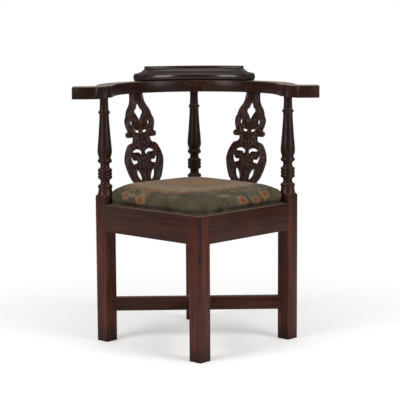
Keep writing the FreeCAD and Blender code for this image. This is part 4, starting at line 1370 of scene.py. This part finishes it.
def sacking():
    """A level sheet cut round three legs. Between the strips it is pressed down by a millimetre, as the
    product of a smooth step in from the strips one way and the same the other way."""
    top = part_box("seat_canvas")[1].z
    line = np.linspace(-NOTCH, NOTCH, 110)
    line = np.concatenate([[-SACK_HALF, -LAST_ROW], line, [LAST_ROW, SACK_HALF]])
    a, b = np.meshgrid(line, line, indexing="ij")
    pressed = 1.0
    for value in (a, b):
        nearest = np.clip(np.round(value / WEB_PITCH), -1, 1) * WEB_PITCH
        free = np.abs(value - nearest) - WEB_WIDTH / 2
        pressed = pressed * soft_step(free, 0, 9 * MM) * (1 - soft_step(np.abs(value), *MEMBERS_START))
    x, y = from_square(a, b)
    points = np.stack([x, y, top - SACK_TOP - SAG * pressed], axis=-1).reshape(-1, 3)
    faces = grid_faces(len(line), len(line))
    a, b = square_place(points[faces].mean(axis=1))
    cut = (np.minimum(np.abs(a), np.abs(b)) > NOTCH) & ~((a < 0) & (b < 0))
    used, numbers = np.unique(faces[~cut], return_inverse=True)
    return new_mesh("sacking", points[used], numbers.reshape(-1, 4))


sack_mesh = sacking()
sack_jute = plain_weave("jute_sacking", -45, "#7a6b50", "#5b4c35", False)
sack = fit("seat_canvas_sacking", sack_mesh, sack_jute, SEAT, "canvas", "seat_canvas")
smooth(sack_mesh, 60)
thickened(sack, 0.8 * MM, 0)
print("sacking", len(sack_mesh.polygons), "faces")

# %% [markdown]
# ## Tacks
# The cover is folded under the frame and held by cut tacks. They are iron, blued when they were made,
# and a century of damp has left brown rust on the heads. The CAD heads have the right shape, so they
# stay and only get their metal.

# %% Rusted iron

def blued_iron():
    """Blued cut iron, dull, with brown rust where noise is high. Rust is rough and not metallic."""
    material, tree, shader = new_finish("blued_cut_iron")
    links = {"Vector": add_node(tree, PLACES, output="Object"), "Scale": 320, "Detail": 4}
    spots = add_node(tree, "ShaderNodeTexNoise", links, "Fac")
    rust = add_node(tree, RANGE, (spots, 0.44, 0.58))
    connect(tree, shader, {
        "Base Color": laid_over(tree, colour("#3f4146"), "#4a2b1c", rust),
        "Metallic": add_node(tree, RANGE, (rust, 0, 1, 1.0, 0.1)),
        "Roughness": add_node(tree, RANGE, (rust, 0, 1, 0.42, 0.85)),
        "Normal": add_node(tree, BUMP, {"Height": spots, "Strength": 0.5, "Distance": 0.15 * MM})})
    return material


tacks = nodes["seat_tacks"].data
tacks.materials.clear()
tacks.materials.append(blued_iron())
print("tacks:", len(tacks.polygons), "faces")

# %% [markdown]
# ## Studio
# The photograph shows a white sweep with one soft shadow under the chair. The floor is pale, and its
# own colour is lifted to white for the camera, so the shadow stays and no extra light falls on the
# chair. Its underside is clear, so the chair can also be looked at from below. Large soft boxes left,
# right and above give the long gentle highlights of the polish.

# %% Floor, soft boxes and world
WHITE = (1, 1, 1, 1)
FLOOR_RADIUS = 9.0
FLOOR_SIDES = 64
SHADOW_ENDS = (0.55, 1.1)        # from the chair's middle, over which the floor goes to pure white


def studio_floor():
    """A round floor of pale paper, a polygon of many sides about the chair."""
    turn = np.linspace(0, 2 * math.pi, FLOOR_SIDES, endpoint=False)
    points = np.column_stack([FLOOR_RADIUS * np.cos(turn), FLOOR_RADIUS * np.sin(turn), 0 * turn])
    mesh = new_mesh("studio_floor", points, [range(FLOOR_SIDES)])
    floor = in_scene("studio_floor", mesh)
    paper = bpy.data.materials.new("white_studio_paper")
    paper.use_nodes = True
    tree = paper.node_tree
    tree.nodes.clear()
    matt = add_node(tree, "ShaderNodeBsdfDiffuse", {"Color": colour("#e9e8e6")})
    lift = add_node(tree, "ShaderNodeEmission", {"Color": WHITE, "Strength": 0.3})
    white = add_node(tree, "ShaderNodeEmission", {"Color": WHITE, "Strength": 1.0})
    place = add_node(tree, PLACES, output="Object")
    distance = add_node(tree, "ShaderNodeVectorMath", (place,), "Value", operation="LENGTH")
    far = add_node(tree, RANGE, (distance, *SHADOW_ENDS))
    lifted = add_node(tree, "ShaderNodeAddShader", (matt, lift))
    seen = add_node(tree, "ShaderNodeMixShader", (far, lifted, white))
    by_camera = add_node(tree, "ShaderNodeLightPath", output="Is Camera Ray")
    above = add_node(tree, "ShaderNodeMixShader", (by_camera, matt, seen))
    below = add_node(tree, "ShaderNodeNewGeometry", output="Backfacing")
    clear = add_node(tree, "ShaderNodeBsdfTransparent")
    both_sides = add_node(tree, "ShaderNodeMixShader", (below, above, clear))
    add_node(tree, "ShaderNodeOutputMaterial", {"Surface": both_sides})
    mesh.materials.append(paper)


def soft_box(name, place, aim, width, height, power):
    """A rectangular lamp at a place, facing a point."""
    data = bpy.data.lights.new(name, "AREA")
    data.shape = "RECTANGLE"
    data.size = width
    data.size_y = height
    data.energy = power
    direction = (Vector(aim) - Vector(place)).to_track_quat("-Z", "Y")
    in_scene(name, data).matrix_world = Matrix.Translation(place) @ direction.to_matrix().to_4x4()


def white_sweep():
    """A world that is white for the camera. As a light it is dim in front and grows bright behind the
    chair, as a lit paper background does."""
    world = bpy.data.worlds.new("studio")
    bpy.context.scene.world = world
    world.use_nodes = True
    tree = world.node_tree
    direction = add_node(tree, PLACES, output="Generated")
    depth = add_node(tree, PARTS, (direction,), "Y")
    sweep = add_node(tree, RANGE, (depth, 0.1, 0.8, 0.1, 0.75))
    by_camera = add_node(tree, "ShaderNodeLightPath", output="Is Camera Ray")
    lit = add_node(tree, MATH, (sweep, by_camera), operation="MAXIMUM")
    connect(tree, tree.nodes["Background"], {"Color": WHITE, "Strength": lit})


studio_floor()
soft_box("soft_box_left", (-2.3, -1.9, 1.75), (0, 0, 0.5), 1.5, 2.0, 62)
soft_box("soft_box_right", (2.3, -1.9, 1.75), (0, 0, 0.5), 1.5, 2.0, 64)
soft_box("soft_box_above", (0, -0.2, 3.0), (0, 0, 0), 2.2, 2.2, 26)
white_sweep()
bpy.context.scene.view_settings.view_transform = "Standard"
print("studio lit by", len(bpy.data.lights), "soft boxes")
